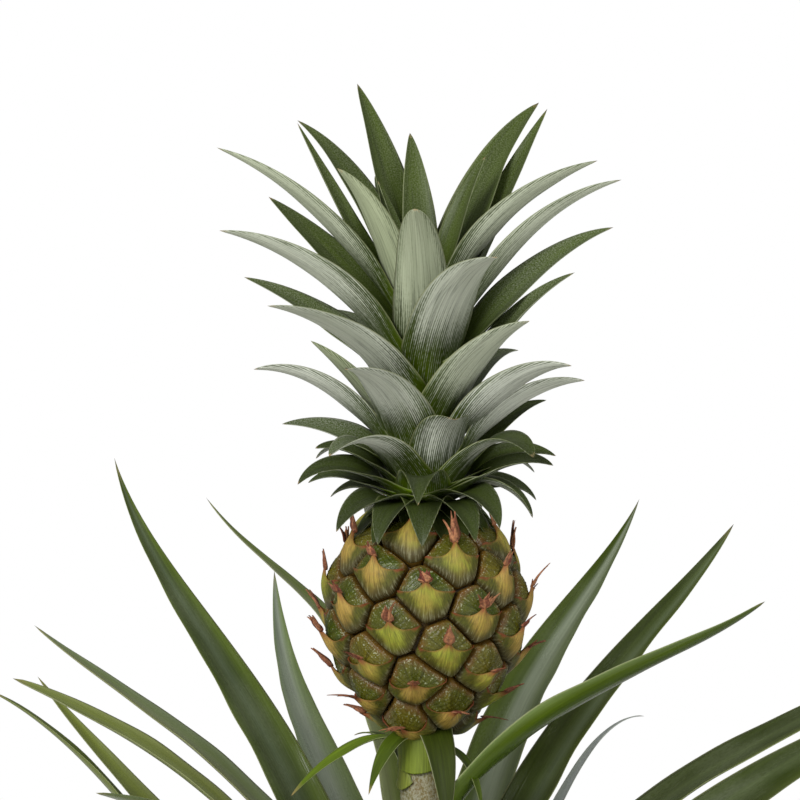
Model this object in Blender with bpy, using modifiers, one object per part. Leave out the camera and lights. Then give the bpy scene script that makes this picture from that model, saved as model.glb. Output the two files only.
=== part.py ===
"""Potted pineapple plant: a young fruit with its crown, on a leafy rosette in a plain grower's pot.

Metres, +Z up. The origin is the centre of the pot's flat underside. Azimuths are in degrees, 0 along -Y
(the front) and growing towards +X. Sizes below are in millimetres and become metres in the mesh.
"""

import math

import bmesh
import bpy
import numpy as np

MM = 0.001
GAP = 0.3  # clearance between touching pieces
GOLDEN_ANGLE = 137.508

# Pot: moulded plastic, drawn from the outside of the rim down and back up the inside
POT_HEIGHT = 120.0
POT_BASE_RADIUS = 46.0
POT_TOP_RADIUS = 63.5
POT_WALL = 2.2
POT_FLOOR = 3.0
RIM_DEPTH = 17.0
RIM_STEP = 2.6
POT_STEPS = 40

# Soil
SOIL_TOP = 107.0
STEM_HOLE_BOTTOM = 84.0

# Stem and fruit stalk: one turned piece, radius at each height
STEM_PROFILE = [(84.3, 21.0), (107.5, 21.0), (111.0, 22.0), (164.0, 12.0), (182.0, 10.8), (240.0, 10.6),
                (278.0, 11.2), (304.0, 11.2)]
STEM_STEPS = 24
STALK_TOP = 303.7

# Fruit: radius of the outside at each height, and the eyes set on it in a golden spiral
FRUIT_PROFILE = [(291.5, 10.0), (294.0, 16.0), (299.0, 20.5), (306.0, 27.0), (314.0, 33.5), (324.0, 38.8),
                 (334.0, 42.0), (345.0, 43.2), (356.0, 42.4), (366.0, 39.2), (374.0, 34.6), (381.0, 28.5),
                 (386.0, 21.0), (388.0, 12.0)]
EYE_AREA = 515.0
EYE_START = (330.3, 12.5)  # height and azimuth of the eye that the spiral is counted from
EYE_DOME = 3.0
GROOVE = 1.6
CROWN_SOCKET = (9.0, 377.0)  # radius and bottom

# Leaf blades
BLADE = 0.8
WRAP = 0.62  # half angle, in radians, that a leaf base may reach round the stem
SEAT = 0.65  # from the stem to the middle of a leaf base, past the gap
LEAF_SEGMENTS, LEAF_ACROSS = 8, 4
CROWN_SEGMENTS, CROWN_ACROSS = 6, 2

# Rosette leaves, lowest first: azimuth, height on the stem, length, width, elevation at the base and
# towards the tip, how late it bends, sideways turn, lift of the tip, roll, taper and point
ROSETTE = {
    "leaf_01": (72, 109, 262, 28, 57, 26, 1.3, -8, -14, 10, 2.6, 0.75),
    "leaf_02": (-149, 111, 275, 26, 46, -46, 1.2, 0, 0, 0, 2.2, 0.9),
    "leaf_03": (-12, 113, 265, 26, 48, -44, 1.2, 0, 0, 0, 2.2, 0.9),
    "leaf_04": (126, 115, 262, 26, 50, -42, 1.2, 0, 0, 0, 2.2, 0.9),
    "leaf_05": (-78, 117, 255, 26, 55, 56, 1.2, -18, -30, 0, 2.4, 0.65),
    "leaf_06": (41, 119, 245, 26, 53, -36, 1.2, 0, 0, 0, 2.2, 0.9),
    "leaf_07": (178, 121, 250, 26, 55, -34, 1.2, 0, 0, 0, 2.2, 0.9),
    "leaf_08": (-34, 123, 290, 25, 65, -2, 1.16, 9, 12, 15, 2.1, 0.7),
    "leaf_09": (93, 126, 266, 30, 68, 8, 1.16, 13, 23, 45, 2.6, 0.6),
    "leaf_10": (-125, 128, 225, 25, 60, -28, 1.2, 0, 0, 0, 2.2, 0.9),
    "leaf_11": (8, 129, 220, 25, 62, -26, 1.2, 0, 0, 0, 2.2, 0.9),
    "leaf_12": (146, 131, 236, 12, 60, 43, 1.44, 0, -50, -15, 1.9, 0.8),
    "leaf_13": (-90, 135, 233, 27, 57, 40, 1.16, -5, 14, -25, 2.1, 0.85),
    "leaf_14": (40, 137, 200, 24, 64, -14, 1.2, 0, 0, 0, 2.2, 0.9),
    "leaf_15": (-162, 139, 350, 27, 74, 0, 0.63, -11, 60, -3, 1.8, 0.8),
    "leaf_16": (-20, 141, 185, 24, 69, -16, 1.2, 0, 0, 0, 2.2, 0.9),
    "leaf_17": (-135, 143, 323, 29, 70, 16, 1.33, 0, 54, -20, 2.3, 1.04),
    "leaf_18": (164, 145, 348, 27, 78, 5, 0.8, -22, 49, 15, 3.4, 1.09),
    "leaf_19": (7, 147, 165, 15, 70, -8, 1.2, 0, 0, 0, 2.2, 0.9),
    "leaf_20": (-62, 149, 244, 28, 66, 10, 1.5, -23, 15, -20, 2.6, 0.62),
    "leaf_21": (67, 151, 261, 30, 74, 12, 0.8, 30, 19, 28, 2.8, 0.6),
    "leaf_22": (-10, 155, 125, 20, 78, 4, 1.2, 0, 0, 0, 2.2, 0.9),
    "leaf_23": (-92, 157, 243, 25, 78, 13, 1.0, -6, 28, -15, 2.2, 0.8),
    "leaf_24": (118, 159, 267, 30, 85, 24, 0.9, 1, 29, 20, 2.1, 0.82),
    "leaf_25": (40, 161, 100, 18, 83, 20, 1.2, 0, 0, 0, 2.2, 0.9),
    "leaf_26": (-168, 163, 350, 18, 86, -18, 0.97, 30, 60, 8, 2.2, 0.9),
    "leaf_27": (64, 258, 167, 24, 88, 15, 0.27, 26, 23, -19, 1.9, 0.62),
}

# Crown leaves, lowest first: azimuth, height on the core, length, width, elevation at the base and towards
# the tip, how late it bends, sideways turn, roll, taper and point. The low ones droop over the fruit, the
# high ones stand up.
CROWN_LEAVES = [
    (-2, 390, 37, 25, 12, -80, 1.1, 0, 0, 1.5, 0.95), (28, 390, 40, 25, 10, -70, 1.3, 0, 0, 1.5, 0.95),
    (-29, 390, 38, 25, 10, -76, 1.2, 0, 0, 1.5, 0.95), (-52, 391, 41, 27, 14, -58, 1.2, 0, -12, 1.5, 0.95),
    (45, 391, 40, 27, 28, -74, 1.2, 0, 12, 1.5, 0.95), (-115, 391, 36, 15, 30, -40, 1.5, 0, -25, 2.2, 0.8),
    (150, 391, 42, 17, 20, -58, 1.2, 0, 0, 2, 0.8), (-150, 391, 44, 18, 24, -55, 1.3, 0, 0, 2, 0.8),
    (105, 391, 42, 18, 30, -52, 1.7, 0, 28, 2.2, 0.8), (66, 391, 54, 22, 36, -21, 2.0, -12, 28, 1.7, 0.85),
    (-98, 392, 42, 20, 32, -32, 1.8, 0, -28, 1.7, 0.85), (74, 392, 44, 19, 56, -66, 0.8, 0, 0, 2.4, 0.75),
    (-72, 392, 51, 23, 39, -50, 1.8, 0, -28, 1.7, 0.85), (180, 393, 50, 20, 34, -48, 1.4, 0, 0, 2, 0.8),
    (-4, 393, 42, 26, 52, -68, 1.1, 0, 0, 1.4, 0.95), (90, 394, 50, 24, 44, -22, 1.7, 0, 30, 1.7, 0.85),
    (50, 395, 60, 23, 48, -50, 2.0, -12, 14, 2.4, 0.75), (130, 395, 56, 20, 40, -40, 1.5, 0, 20, 2, 0.8),
    (-79, 396, 42, 17, 45, -14, 2.0, 5, -26, 2.3, 0.75), (22, 396, 42, 25, 79, -5, 1.9, -8, 0, 3.2, 0.6),
    (-132, 397, 58, 20, 44, -36, 1.5, 0, -15, 2, 0.8), (110, 397, 60, 19, 52, 10, 2.1, 12, 25, 1.9, 0.85),
    (-42, 398, 56, 26, 58, -34, 1.1, 0, 0, 2.4, 0.8), (-100, 402, 57, 21, 45, -4, 1.2, 0, -30, 1.9, 0.85),
    (97, 403, 72, 24, 52, 1, 1.8, 0, -32, 1.9, 0.85), (160, 404, 68, 24, 54, -22, 1.4, 0, 0, 2, 0.8),
    (-96, 406, 78, 23, 52, -6, 2.0, 0, 30, 1.9, 0.85), (-27, 409, 73, 31, 61, 3, 1.0, -4, 0, 2.4, 0.8),
    (-165, 410, 74, 25, 56, -14, 1.4, 0, 0, 2, 0.8), (-100, 411, 62, 25, 60, 39, 1.2, 0, 30, 1.9, 0.85),
    (67, 412, 71, 23, 50, -4, 1.9, -10, -30, 1.9, 0.85), (138, 418, 66, 24, 58, 2, 1.5, 0, 10, 2, 0.8),
    (44, 420, 72, 31, 67, 18, 0.9, 0, 0, 2.4, 0.8), (83, 422, 86, 24, 61, 27, 2.1, 0, 30, 1.9, 0.85),
    (-142, 425, 78, 25, 60, 8, 1.5, 0, 0, 2, 0.8), (-49, 427, 93, 29, 69, 7, 0.6, 0, 4, 2.2, 0.8),
    (178, 432, 92, 26, 66, 14, 1.4, 0, 0, 2, 0.8), (-109, 434, 91, 23, 49, 20, 1.1, 0, -28, 1.9, 0.85),
    (19, 435, 94, 31, 86, 8, 0.7, 10, 0, 2.5, 0.75), (-5, 435, 92, 28, 82, 28, 1.5, 0, 0, 3.0, 0.7),
    (-80, 442, 105, 25, 61, 10, 1.2, 0, 28, 1.9, 0.85), (97, 442, 99, 26, 52, 18, 2.2, 0, 32, 1.9, 0.85),
    (148, 442, 98, 24, 66, 24, 1.5, 0, 0, 2, 0.8), (-55, 451, 89, 28, 75, 40, 2.2, 0, 0, 2.8, 0.75),
    (89, 451, 110, 22, 60, 15, 1.9, 0, -28, 1.9, 0.85), (-160, 452, 98, 23, 68, 34, 1.5, 0, 0, 2, 0.8),
    (-111, 455, 92, 27, 48, 40, 1.7, 0, -26, 1.9, 0.85), (117, 460, 111, 22, 63, 60, 1.2, 0, 14, 2.0, 0.85),
    (-87, 460, 116, 20, 59, 22, 1.5, 0, 28, 1.9, 0.85), (130, 464, 115, 27, 70, 38, 1.9, 0, 16, 2.2, 0.8),
    (-104, 464, 100, 17, 53, 64, 0.5, 7, -20, 1.9, 0.85), (170, 462, 46, 18, 78, 60, 1.5, 0, 0, 2, 0.8),
    (81, 465, 100, 22, 75, 19, 0.9, 0, -30, 1.9, 0.85), (-127, 470, 106, 23, 63, 32, 2.1, 0, -14, 1.9, 0.85),
    (102, 472, 68, 20, 78, 60, 2.0, 0, 26, 1.9, 0.85), (-112, 472, 57, 12, 80, 62, 1.5, -10, 0, 2, 0.8),
    (-142, 476, 102, 27, 68, 62, 1.8, 0, 6, 2.2, 0.85), (-168, 476, 76, 18, 78, 62, 1.2, 0, 0, 2.3, 0.8),
]
CROWN_CORE = [(377.3, 8.7), (388.6, 8.7), (389.0, 12.0), (396.0, 12.5), (420.0, 10.5), (450.0, 8.0), (478.0, 6.5),
              (485.0, 0.0)]

SKIN = {
    "pot": ((0.36, 0.13, 0.075, 1.0), 0.55),
    "soil": ((0.035, 0.022, 0.014, 1.0), 0.95),
    "stalk": ((0.25, 0.30, 0.14, 1.0), 0.6),
    "fruit": ((0.20, 0.20, 0.045, 1.0), 0.45),
    "crown": ((0.20, 0.28, 0.17, 1.0), 0.45),
    "leaf": ((0.07, 0.13, 0.035, 1.0), 0.4),
}


def clear_scene():
    for obj in list(bpy.data.objects):
        bpy.data.objects.remove(obj, do_unlink=True)


def new_collection(name):
    collection = bpy.data.collections.new(name)
    bpy.context.scene.collection.children.link(collection)
    return collection


def add_material(obj, kind):
    colour, roughness = SKIN[kind]
    material = bpy.data.materials.new(obj.name + "_surface")
    material.use_nodes = True
    shader = material.node_tree.nodes["Principled BSDF"]
    shader.inputs["Base Color"].default_value = colour
    shader.inputs["Roughness"].default_value = roughness
    shader.inputs["Metallic"].default_value = 0.0
    obj.data.materials.clear()
    obj.data.materials.append(material)


def mesh_object(name, points_mm, faces, collection):
    mesh = bpy.data.meshes.new(name)
    mesh.from_pydata([tuple(float(c) * MM for c in p) for p in points_mm], [], [tuple(f) for f in faces])
    mesh.update()
    obj = bpy.data.objects.new(name, mesh)
    collection.objects.link(obj)
    return obj


def turned(name, profile, steps, collection):
    """A solid of revolution: profile is (radius, height) from the top of the axis out, down and back."""
    mesh = bpy.data.meshes.new(name)
    edges = [(i, i + 1) for i in range(len(profile) - 1)]
    mesh.from_pydata([(r * MM, 0.0, z * MM) for r, z in profile], edges, [])
    obj = bpy.data.objects.new(name, mesh)
    collection.objects.link(obj)
    screw = obj.modifiers.new("turn", "SCREW")
    screw.steps = screw.render_steps = steps
    screw.use_merge_vertices = True
    screw.merge_threshold = 0.00001
    screw.use_smooth_shade = True
    return obj


def baked(obj):
    """The object's mesh with its modifiers applied."""
    graph = bpy.context.evaluated_depsgraph_get()
    mesh = bpy.data.meshes.new_from_object(obj.evaluated_get(graph), depsgraph=graph)
    obj.modifiers.clear()
    obj.data = mesh
    return obj


def boolean(obj, operation, collection, solver="EXACT"):
    """Joins or cuts obj with everything in the collection, then removes those objects."""
    bpy.context.view_layer.update()
    modifier = obj.modifiers.new(operation.lower(), "BOOLEAN")
    modifier.operation = operation
    modifier.operand_type = "COLLECTION"
    modifier.collection = collection
    modifier.solver = solver
    baked(obj)
    for other in list(collection.objects):
        bpy.data.objects.remove(other, do_unlink=True)
    return obj


def ease(x):
    x = np.clip(x, 0.0, 1.0)
    return x * x * (3.0 - 2.0 * x)


def stem_radius(z):
    heights, radii = zip(*STEM_PROFILE)
    return float(np.interp(z, heights, radii))


def core_radius(z):
    heights, radii = zip(*CROWN_CORE)
    return float(np.interp(z, heights, radii))


def blade_rows(azimuth, radius, height, length, width, rise, tip_rise, late, turn, lift, roll, taper, point,
               segments, across, cup, flare):
    """Middle surface of one leaf, as rows of points from base to tip.

    The midrib leaves the stem at this azimuth, radius and height. Its elevation runs from rise to
    tip_rise with the power late, plus lift near the tip, and its heading swings by turn. Across, each row
    is an arc: at the base it is concentric with the stem, and further out its half angle is cup.
    """
    fine = 120
    mid = (np.arange(fine) + 0.5) / fine
    elevation = np.radians(rise + (tip_rise - rise) * mid**late + lift * mid**5)
    heading = np.radians(azimuth + turn * mid**2)
    step = np.stack([np.cos(elevation) * np.sin(heading), -np.cos(elevation) * np.cos(heading),
                     np.sin(elevation)], axis=-1) * (length / fine)
    start = np.array([radius * math.sin(math.radians(azimuth)), -radius * math.cos(math.radians(azimuth)), height])
    midrib = np.vstack([start, start + np.cumsum(step, axis=0)])

    rows = np.linspace(0, fine, segments + 1).round().astype(int)
    s = rows / fine
    midrib = midrib[rows]
    elevation = np.radians(rise + (tip_rise - rise) * s**late + lift * s**5)
    heading = np.radians(azimuth + turn * s**2)
    along = np.stack([np.cos(elevation) * np.sin(heading), -np.cos(elevation) * np.cos(heading),
                      np.sin(elevation)], axis=-1)
    side = np.stack([np.cos(heading), np.sin(heading), 0 * heading], axis=-1)
    upper = np.cross(along, side)

    half = width / 2 * (1 - s**taper) ** point * (1 + flare * np.exp(-((s / 0.07) ** 2)))
    reach = np.hypot(midrib[:, 0], midrib[:, 1])
    girth = reach / np.sin(np.clip(elevation, 0.2, None))
    half = np.minimum(half, WRAP * girth)
    wrap = np.clip(half / girth, 0.05, WRAP)
    angle = wrap + (cup - wrap) * ease(s / 0.35)
    tilt = (np.radians(roll) * ease(s / 0.5))[:, None]
    side, upper = side * np.cos(tilt) + upper * np.sin(tilt), upper * np.cos(tilt) - side * np.sin(tilt)

    t = np.linspace(-1, 1, across + 1)
    bend = half / angle
    out = (bend[:, None] * np.sin(angle[:, None] * t))[..., None] * side[:, None]
    up = (bend[:, None] * (1 - np.cos(angle[:, None] * t)))[..., None] * upper[:, None]
    return midrib[:, None] + out + up


def blade_object(name, rows, collection, thickness=BLADE):
    """An open, triangulated strip through the rows, drawn to one point at the tip and given thickness."""
    segments, across = rows.shape[0] - 1, rows.shape[1] - 1
    points = [tuple(p) for row in rows[:-1] for p in row] + [tuple(rows[-1, across // 2])]
    tip = len(points) - 1
    faces = []
    for i in range(segments - 1):
        for j in range(across):
            a, b = i * (across + 1) + j, i * (across + 1) + j + 1
            c, d = a + across + 1, b + across + 1
            if j < across // 2:
                faces += [(a, b, d), (a, d, c)]
            else:
                faces += [(a, b, c), (b, d, c)]
    last = (segments - 1) * (across + 1)
    faces += [(last + j, last + j + 1, tip) for j in range(across)]
    obj = mesh_object(name, points, faces, collection)
    solid = obj.modifiers.new("thickness", "SOLIDIFY")
    solid.thickness = thickness * MM
    solid.offset = 0.0
    solid.use_even_offset = False
    obj.data.shade_smooth()
    return obj


def make_pot(collection):
    top, base = POT_TOP_RADIUS, POT_BASE_RADIUS
    rim_z = POT_HEIGHT - RIM_DEPTH
    slope = (top - base) / POT_HEIGHT
    profile = [
        (top - POT_WALL + 0.6, POT_HEIGHT - 0.4), (top + RIM_STEP - 1.0, POT_HEIGHT), (top + RIM_STEP, POT_HEIGHT - 1.2),
        (top + RIM_STEP - slope * RIM_DEPTH, rim_z + 1.0), (top + RIM_STEP - slope * RIM_DEPTH - 1.0, rim_z),
        (base + slope * rim_z, rim_z), (base + 1.5 * slope + 0.3, 1.6), (base - 1.2, 0.0), (0.0, 0.0),
    ]
    inner = [(0.0, POT_FLOOR), (base - POT_WALL - 1.5, POT_FLOOR), (base - POT_WALL, POT_FLOOR + 2.0),
             (top - POT_WALL - 0.4, POT_HEIGHT - 3.0), (top - POT_WALL + 0.6, POT_HEIGHT - 0.4)]
    pot = turned("pot", profile + inner, POT_STEPS, collection)
    add_material(pot, "pot")
    return pot


def make_soil(collection):
    """Fills the pot to just under the rim, with a plain hole for the stem."""
    inner = POT_BASE_RADIUS - POT_WALL
    grow = (POT_TOP_RADIUS - POT_WALL - 0.4 - inner) / (POT_HEIGHT - POT_FLOOR - 5.0)
    edge = inner + grow * (SOIL_TOP - POT_FLOOR - 2.0) - 2 * GAP
    hole = stem_radius(STEM_HOLE_BOTTOM) + GAP
    profile = [
        (0.0, STEM_HOLE_BOTTOM), (hole, STEM_HOLE_BOTTOM), (hole, SOIL_TOP - 0.8), (hole + 2.0, SOIL_TOP + 0.6),
        (33.0, SOIL_TOP - 0.6), (42.0, SOIL_TOP + 0.9), (50.0, SOIL_TOP - 0.7), (edge - 3.0, SOIL_TOP + 0.2),
        (edge, SOIL_TOP - 1.5), (inner - 1.7 - GAP, POT_FLOOR + GAP), (0.0, POT_FLOOR + GAP),
    ]
    soil = turned("soil", profile, POT_STEPS, collection)
    add_material(soil, "soil")
    return soil


# Small leaves on the fruit stalk: azimuth, height, length, width, rise, tip rise, late, turn, lift, roll
STALK_BRACTS = [
    (-60, 285, 75, 9, 84, -72, 0.57, -11, 0, 0),
    (-30, 281, 44, 9, 80, -88, 0.6, 0, 0, 0),
    (12, 286, 34, 13, 34, -86, 0.45, 0, 0, 0),
    (34, 290, 26, 8, 36, -75, 0.6, 0, 0, 0),
    (-60, 262, 30, 15, 88, 70, 1.2, 0, 0, 0),
    (170, 270, 40, 10, 70, -10, 1.0, 0, 0, 0),
    (-130, 277, 36, 9, 70, -20, 1.0, 0, 0, 0),
    (20, 215, 46, 15, 87, 70, 1.2, 0, 0, 0),
]


def make_stalk(collection, helpers):
    """The stem inside the rosette and the fruit's stalk above it, with the small leaves that it carries."""
    profile = [(0.0, STALK_TOP)] + [(r, z) for z, r in reversed(STEM_PROFILE)]
    profile = [(r, min(z, STALK_TOP)) for r, z in profile] + [(0.0, STEM_PROFILE[0][0])]
    stalk = baked(turned("stalk", profile, STEM_STEPS, collection))
    for n, (azimuth, z, length, width, rise, tip_rise, late, turn, lift, roll) in enumerate(STALK_BRACTS):
        rows = blade_rows(azimuth, stem_radius(z) - 1.2, z, length, width, rise, tip_rise, late, turn, lift, roll,
                          2.0, 0.85, 5, 2, 0.6, 0.1)
        blade_object("bract_%02d" % n, rows, helpers)
    boolean(stalk, "UNION", helpers)
    add_material(stalk, "stalk")
    return stalk


def make_rosette(collection):
    for name, values in ROSETTE.items():
        azimuth, z, length, width, rise, tip_rise, late, turn, lift, roll, taper, point = values
        radius = stem_radius(z) + GAP + SEAT
        rows = blade_rows(azimuth, radius, z, length, width, rise, tip_rise, late, turn, lift, roll, taper, point,
                          LEAF_SEGMENTS, LEAF_ACROSS, 0.6, 0.25 if z < 200 else 0.0)
        leaf = blade_object(name, rows, collection)
        add_material(leaf, "leaf")


def fruit_radius(z):
    heights, radii = zip(*FRUIT_PROFILE)
    return np.interp(z, heights, radii)


def eye_centres():
    """Heights and azimuths of the eyes: the golden angle from one to the next, an equal area for each."""
    eyes = []
    for direction in (1, -1):
        z, azimuth = EYE_START
        while FRUIT_PROFILE[0][0] + 3.0 < z < FRUIT_PROFILE[-1][0] - 3.0:
            eyes.append((z, azimuth))
            slope = (fruit_radius(z + 1.0) - fruit_radius(z - 1.0)) / 2.0
            z += direction * EYE_AREA / (2 * math.pi * fruit_radius(z) * math.hypot(1.0, slope))
            azimuth += direction * GOLDEN_ANGLE
    return sorted(set(eyes))


def make_fruit(collection, helpers, cutters):
    """A barrel of domed eyes parted by grooves, each with a pointed bract over its lower half."""
    eyes = eye_centres()
    centres = np.array([[(fruit_radius(z) - EYE_DOME) * math.sin(math.radians(a)),
                         -(fruit_radius(z) - EYE_DOME) * math.cos(math.radians(a)), z] for z, a in eyes])
    low, high = FRUIT_PROFILE[0], FRUIT_PROFILE[-1]
    hull_points = np.vstack([centres, [[0, 0, low[0]], [0, 0, high[0]]]])
    hull = bmesh.new()
    for p in hull_points:
        hull.verts.new(p)
    bmesh.ops.convex_hull(hull, input=hull.verts[:])
    bmesh.ops.triangulate(hull, faces=hull.faces[:])
    hull.verts.index_update()
    middle = np.array([0.0, 0.0, 340.0])

    points, faces, shared = [], [], {}

    def corner(key, p, depth):
        """A groove point, made once and used by every eye that meets there."""
        if key not in shared:
            outward = p - middle
            outward[2] *= 0.4
            shared[key] = len(points)
            points.append(p - outward / np.linalg.norm(outward) * depth)
        return shared[key]

    for vert in hull.verts:
        own = np.array(vert.co)
        ring = []
        loop = next(iter(vert.link_loops), None)
        first = loop
        while loop is not None:
            other = np.array(loop.link_loop_next.vert.co)
            edge_key = tuple(sorted((vert.index, loop.link_loop_next.vert.index)))
            ring.append(corner(edge_key, (own + other) / 2, GROOVE * 0.8))
            triangle = list(loop.face.verts)
            face_key = tuple(sorted(v.index for v in triangle))
            ring.append(corner(face_key, np.mean([np.array(v.co) for v in triangle], axis=0), GROOVE))
            loop = loop.link_loop_prev.link_loop_radial_next
            if loop == first:
                break
        is_eye = vert.index < len(eyes)
        outward = own - middle
        outward[2] *= 0.55
        outward /= np.linalg.norm(outward)
        dome = EYE_DOME if is_eye else 0.5
        top = len(points)
        points.append(own + outward * dome)
        inner = []
        for index in ring[1::2]:
            inner.append(len(points))
            points.append(own + (np.array(points[index]) - own) * 0.62 + outward * dome * 0.72)
        count = len(inner)
        for i in range(count):
            j = (i + 1) % count
            here, edge, there = ring[2 * i + 1], ring[2 * j], ring[2 * j + 1]
            faces.append((top, inner[i], inner[j]))
            faces.append((inner[i], here, edge))
            faces.append((inner[i], edge, inner[j]))
            faces.append((inner[j], edge, there))
    hull.free()
    fruit = mesh_object("fruit", points, faces, collection)
    body = bmesh.new()
    body.from_mesh(fruit.data)
    bmesh.ops.recalc_face_normals(body, faces=body.faces[:])
    body.to_mesh(fruit.data)
    body.free()

    draws = np.random.default_rng(7)
    for n, (z, azimuth) in enumerate(eyes):
        shrink = np.clip(fruit_radius(z) / 40.0, 0.5, 1.0)
        up_shift, spine = draws.uniform(-0.5, 1.0), draws.uniform(2.5, 6.0)
        if z > 368.0:  # low, to clear the crown's drooping leaves
            spine = 0.5
        east = np.array([math.cos(math.radians(azimuth)), math.sin(math.radians(azimuth)), 0.0])
        radial = np.array([math.sin(math.radians(azimuth)), -math.cos(math.radians(azimuth)), 0.0])
        slope = (fruit_radius(z + 1.0) - fruit_radius(z - 1.0)) / 2.0
        north = (radial * slope + np.array([0.0, 0.0, 1.0])) / math.hypot(1.0, slope)
        out = np.cross(east, north)
        centre = centres[n] + out * EYE_DOME
        wedge = [(-8.5, -2.0, -1.4), (8.5, -2.0, -1.4), (0.0, -9.5, -3.2), (0.0, 0.5 + up_shift, 1.6),
                 (-1.0, 1.5 + up_shift, 0.4), (1.0, 1.5 + up_shift, 0.4), (-7.0, -1.0, -5.0), (7.0, -1.0, -5.0),
                 (0.0, -8.5, -6.0), (0.0, 2.0 + up_shift + spine * 0.35, 1.8 + spine)]
        shape = bmesh.new()
        for u, v, w in wedge:
            shape.verts.new(centre + (east * u * shrink + north * v * shrink + out * w))
        bmesh.ops.convex_hull(shape, input=shape.verts[:])
        loose = [v for v in shape.verts if not v.link_faces]
        bmesh.ops.delete(shape, geom=loose, context="VERTS")
        bmesh.ops.recalc_face_normals(shape, faces=shape.faces[:])
        shape.verts.index_update()
        mesh_object("eye_bract_%02d" % n, [tuple(v.co) for v in shape.verts],
                    [[v.index for v in f.verts] for f in shape.faces], helpers)
        shape.free()
    boolean(fruit, "UNION", helpers)

    stalk_hole = stem_radius(295.0) + GAP
    turned("stalk_socket", [(0.0, STALK_TOP + GAP), (stalk_hole, STALK_TOP + GAP), (stalk_hole, 270.0), (0.0, 270.0)],
           STEM_STEPS, cutters)
    radius, bottom = CROWN_SOCKET
    turned("crown_socket", [(0.0, 400.0), (radius, 400.0), (radius, bottom), (0.0, bottom)], 16, cutters)
    for cutter in cutters.objects:
        cutter.hide_render = True
        cutter.display_type = "WIRE"
        baked(cutter)
    boolean(fruit, "DIFFERENCE", cutters)
    add_material(fruit, "fruit")
    return fruit


def make_crown(collection, helpers):
    """The tuft on the fruit: a slim core and its leaves, drooping low down and upright above."""
    profile = [(r, z) for z, r in reversed(CROWN_CORE)] + [(0.0, CROWN_CORE[0][0])]
    crown = baked(turned("crown", profile, 16, collection))
    for n, (azimuth, z, length, width, rise, tip_rise, late, turn, roll, taper, point) in enumerate(CROWN_LEAVES):
        segments = CROWN_SEGMENTS if length > 60 else CROWN_SEGMENTS - 2
        rows = blade_rows(azimuth, max(core_radius(z) - 1.5, 1.0), z, length, width, rise, tip_rise, late, turn,
                          0, roll, taper, point, segments, CROWN_ACROSS, 0.5, 0.1)
        blade_object("crown_leaf_%02d" % n, rows, helpers)
    boolean(crown, "UNION", helpers)
    add_material(crown, "crown")
    return crown


def main():
    clear_scene()
    plant = new_collection("potted_pineapple_plant")
    helpers = new_collection("helpers")
    cutters = new_collection("cutters")
    make_pot(plant)
    make_soil(plant)
    make_stalk(plant, helpers)
    make_fruit(plant, helpers, cutters)
    make_crown(plant, helpers)
    make_rosette(plant)


main()
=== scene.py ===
"""A young pineapple plant in its pot: the looks of its pot, soil, stalk, rosette, fruit and crown.

Metres, +Z up, the stem on the Z axis. The sections follow the plant from the pot upwards. Sizes are in
millimetres and azimuths in degrees, 0 towards -Y, the front, and growing towards +X.
"""

import functools
import math

import bpy
import numpy as np
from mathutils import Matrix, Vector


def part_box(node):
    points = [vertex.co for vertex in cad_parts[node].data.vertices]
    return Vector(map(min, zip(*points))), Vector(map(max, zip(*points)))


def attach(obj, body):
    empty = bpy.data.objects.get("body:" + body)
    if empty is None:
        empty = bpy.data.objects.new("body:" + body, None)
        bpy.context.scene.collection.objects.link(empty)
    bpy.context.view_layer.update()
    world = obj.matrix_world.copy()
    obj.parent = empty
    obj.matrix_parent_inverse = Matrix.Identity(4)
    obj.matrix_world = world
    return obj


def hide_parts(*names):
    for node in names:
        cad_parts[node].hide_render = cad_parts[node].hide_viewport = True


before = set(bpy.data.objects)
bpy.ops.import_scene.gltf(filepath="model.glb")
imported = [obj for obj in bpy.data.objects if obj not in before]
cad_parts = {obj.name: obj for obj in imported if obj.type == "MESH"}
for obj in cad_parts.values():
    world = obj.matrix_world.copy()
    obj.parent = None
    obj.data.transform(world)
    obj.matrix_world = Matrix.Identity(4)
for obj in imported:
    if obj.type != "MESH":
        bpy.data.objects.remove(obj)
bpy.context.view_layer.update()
MM = 0.001


# ---------------------------------------------------------------------------------------------------------
# Pot. Moulded polypropylene grower's pot: a tapered wall, a deeper rim that steps out and a flat underside.
# It is turned from one outline, and the corners have the small radii that a mould leaves.

pot_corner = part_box("pot")[1]
POT_HEIGHT, RIM_RADIUS = pot_corner.z / MM, pot_corner.x / MM
POT_BASE, WALL, FLOOR, RIM_DEPTH, RIM_STEP = 46.0, 2.2, 3.0, 17.0, 2.6
POT_TOP = RIM_RADIUS - RIM_STEP
MID_WALL = 60.0
MOULD_RADIUS = 0.9
POT_STEPS = 160


def rounded(profile, radius, arc=4):
    """Profile with each inner corner replaced by a quadratic curve.

    The curve starts and ends at radius, or at 0.45 of the shorter side, from the corner. It is
    (1-q)^2 a + 2q(1-q) b + q^2 c, where b is the corner and q runs from 0 to 1.
    """
    p = np.array(profile, float)
    before, corner, after = p[:-2], p[1:-1], p[2:]
    sides = [side - corner for side in (before, after)]
    lengths = [np.linalg.norm(side, axis=1, keepdims=True) for side in sides]
    cut = np.minimum(radius, 0.45 * np.minimum(*lengths))
    a, c = (corner + side / length * cut for side, length in zip(sides, lengths))
    q = np.linspace(0, 1, arc + 1)[:, None, None]
    curve = (1 - q) ** 2 * a + 2 * q * (1 - q) * corner + q**2 * c
    return np.vstack([p[:1], curve.transpose(1, 0, 2).reshape(-1, 2), p[-1:]])


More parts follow.
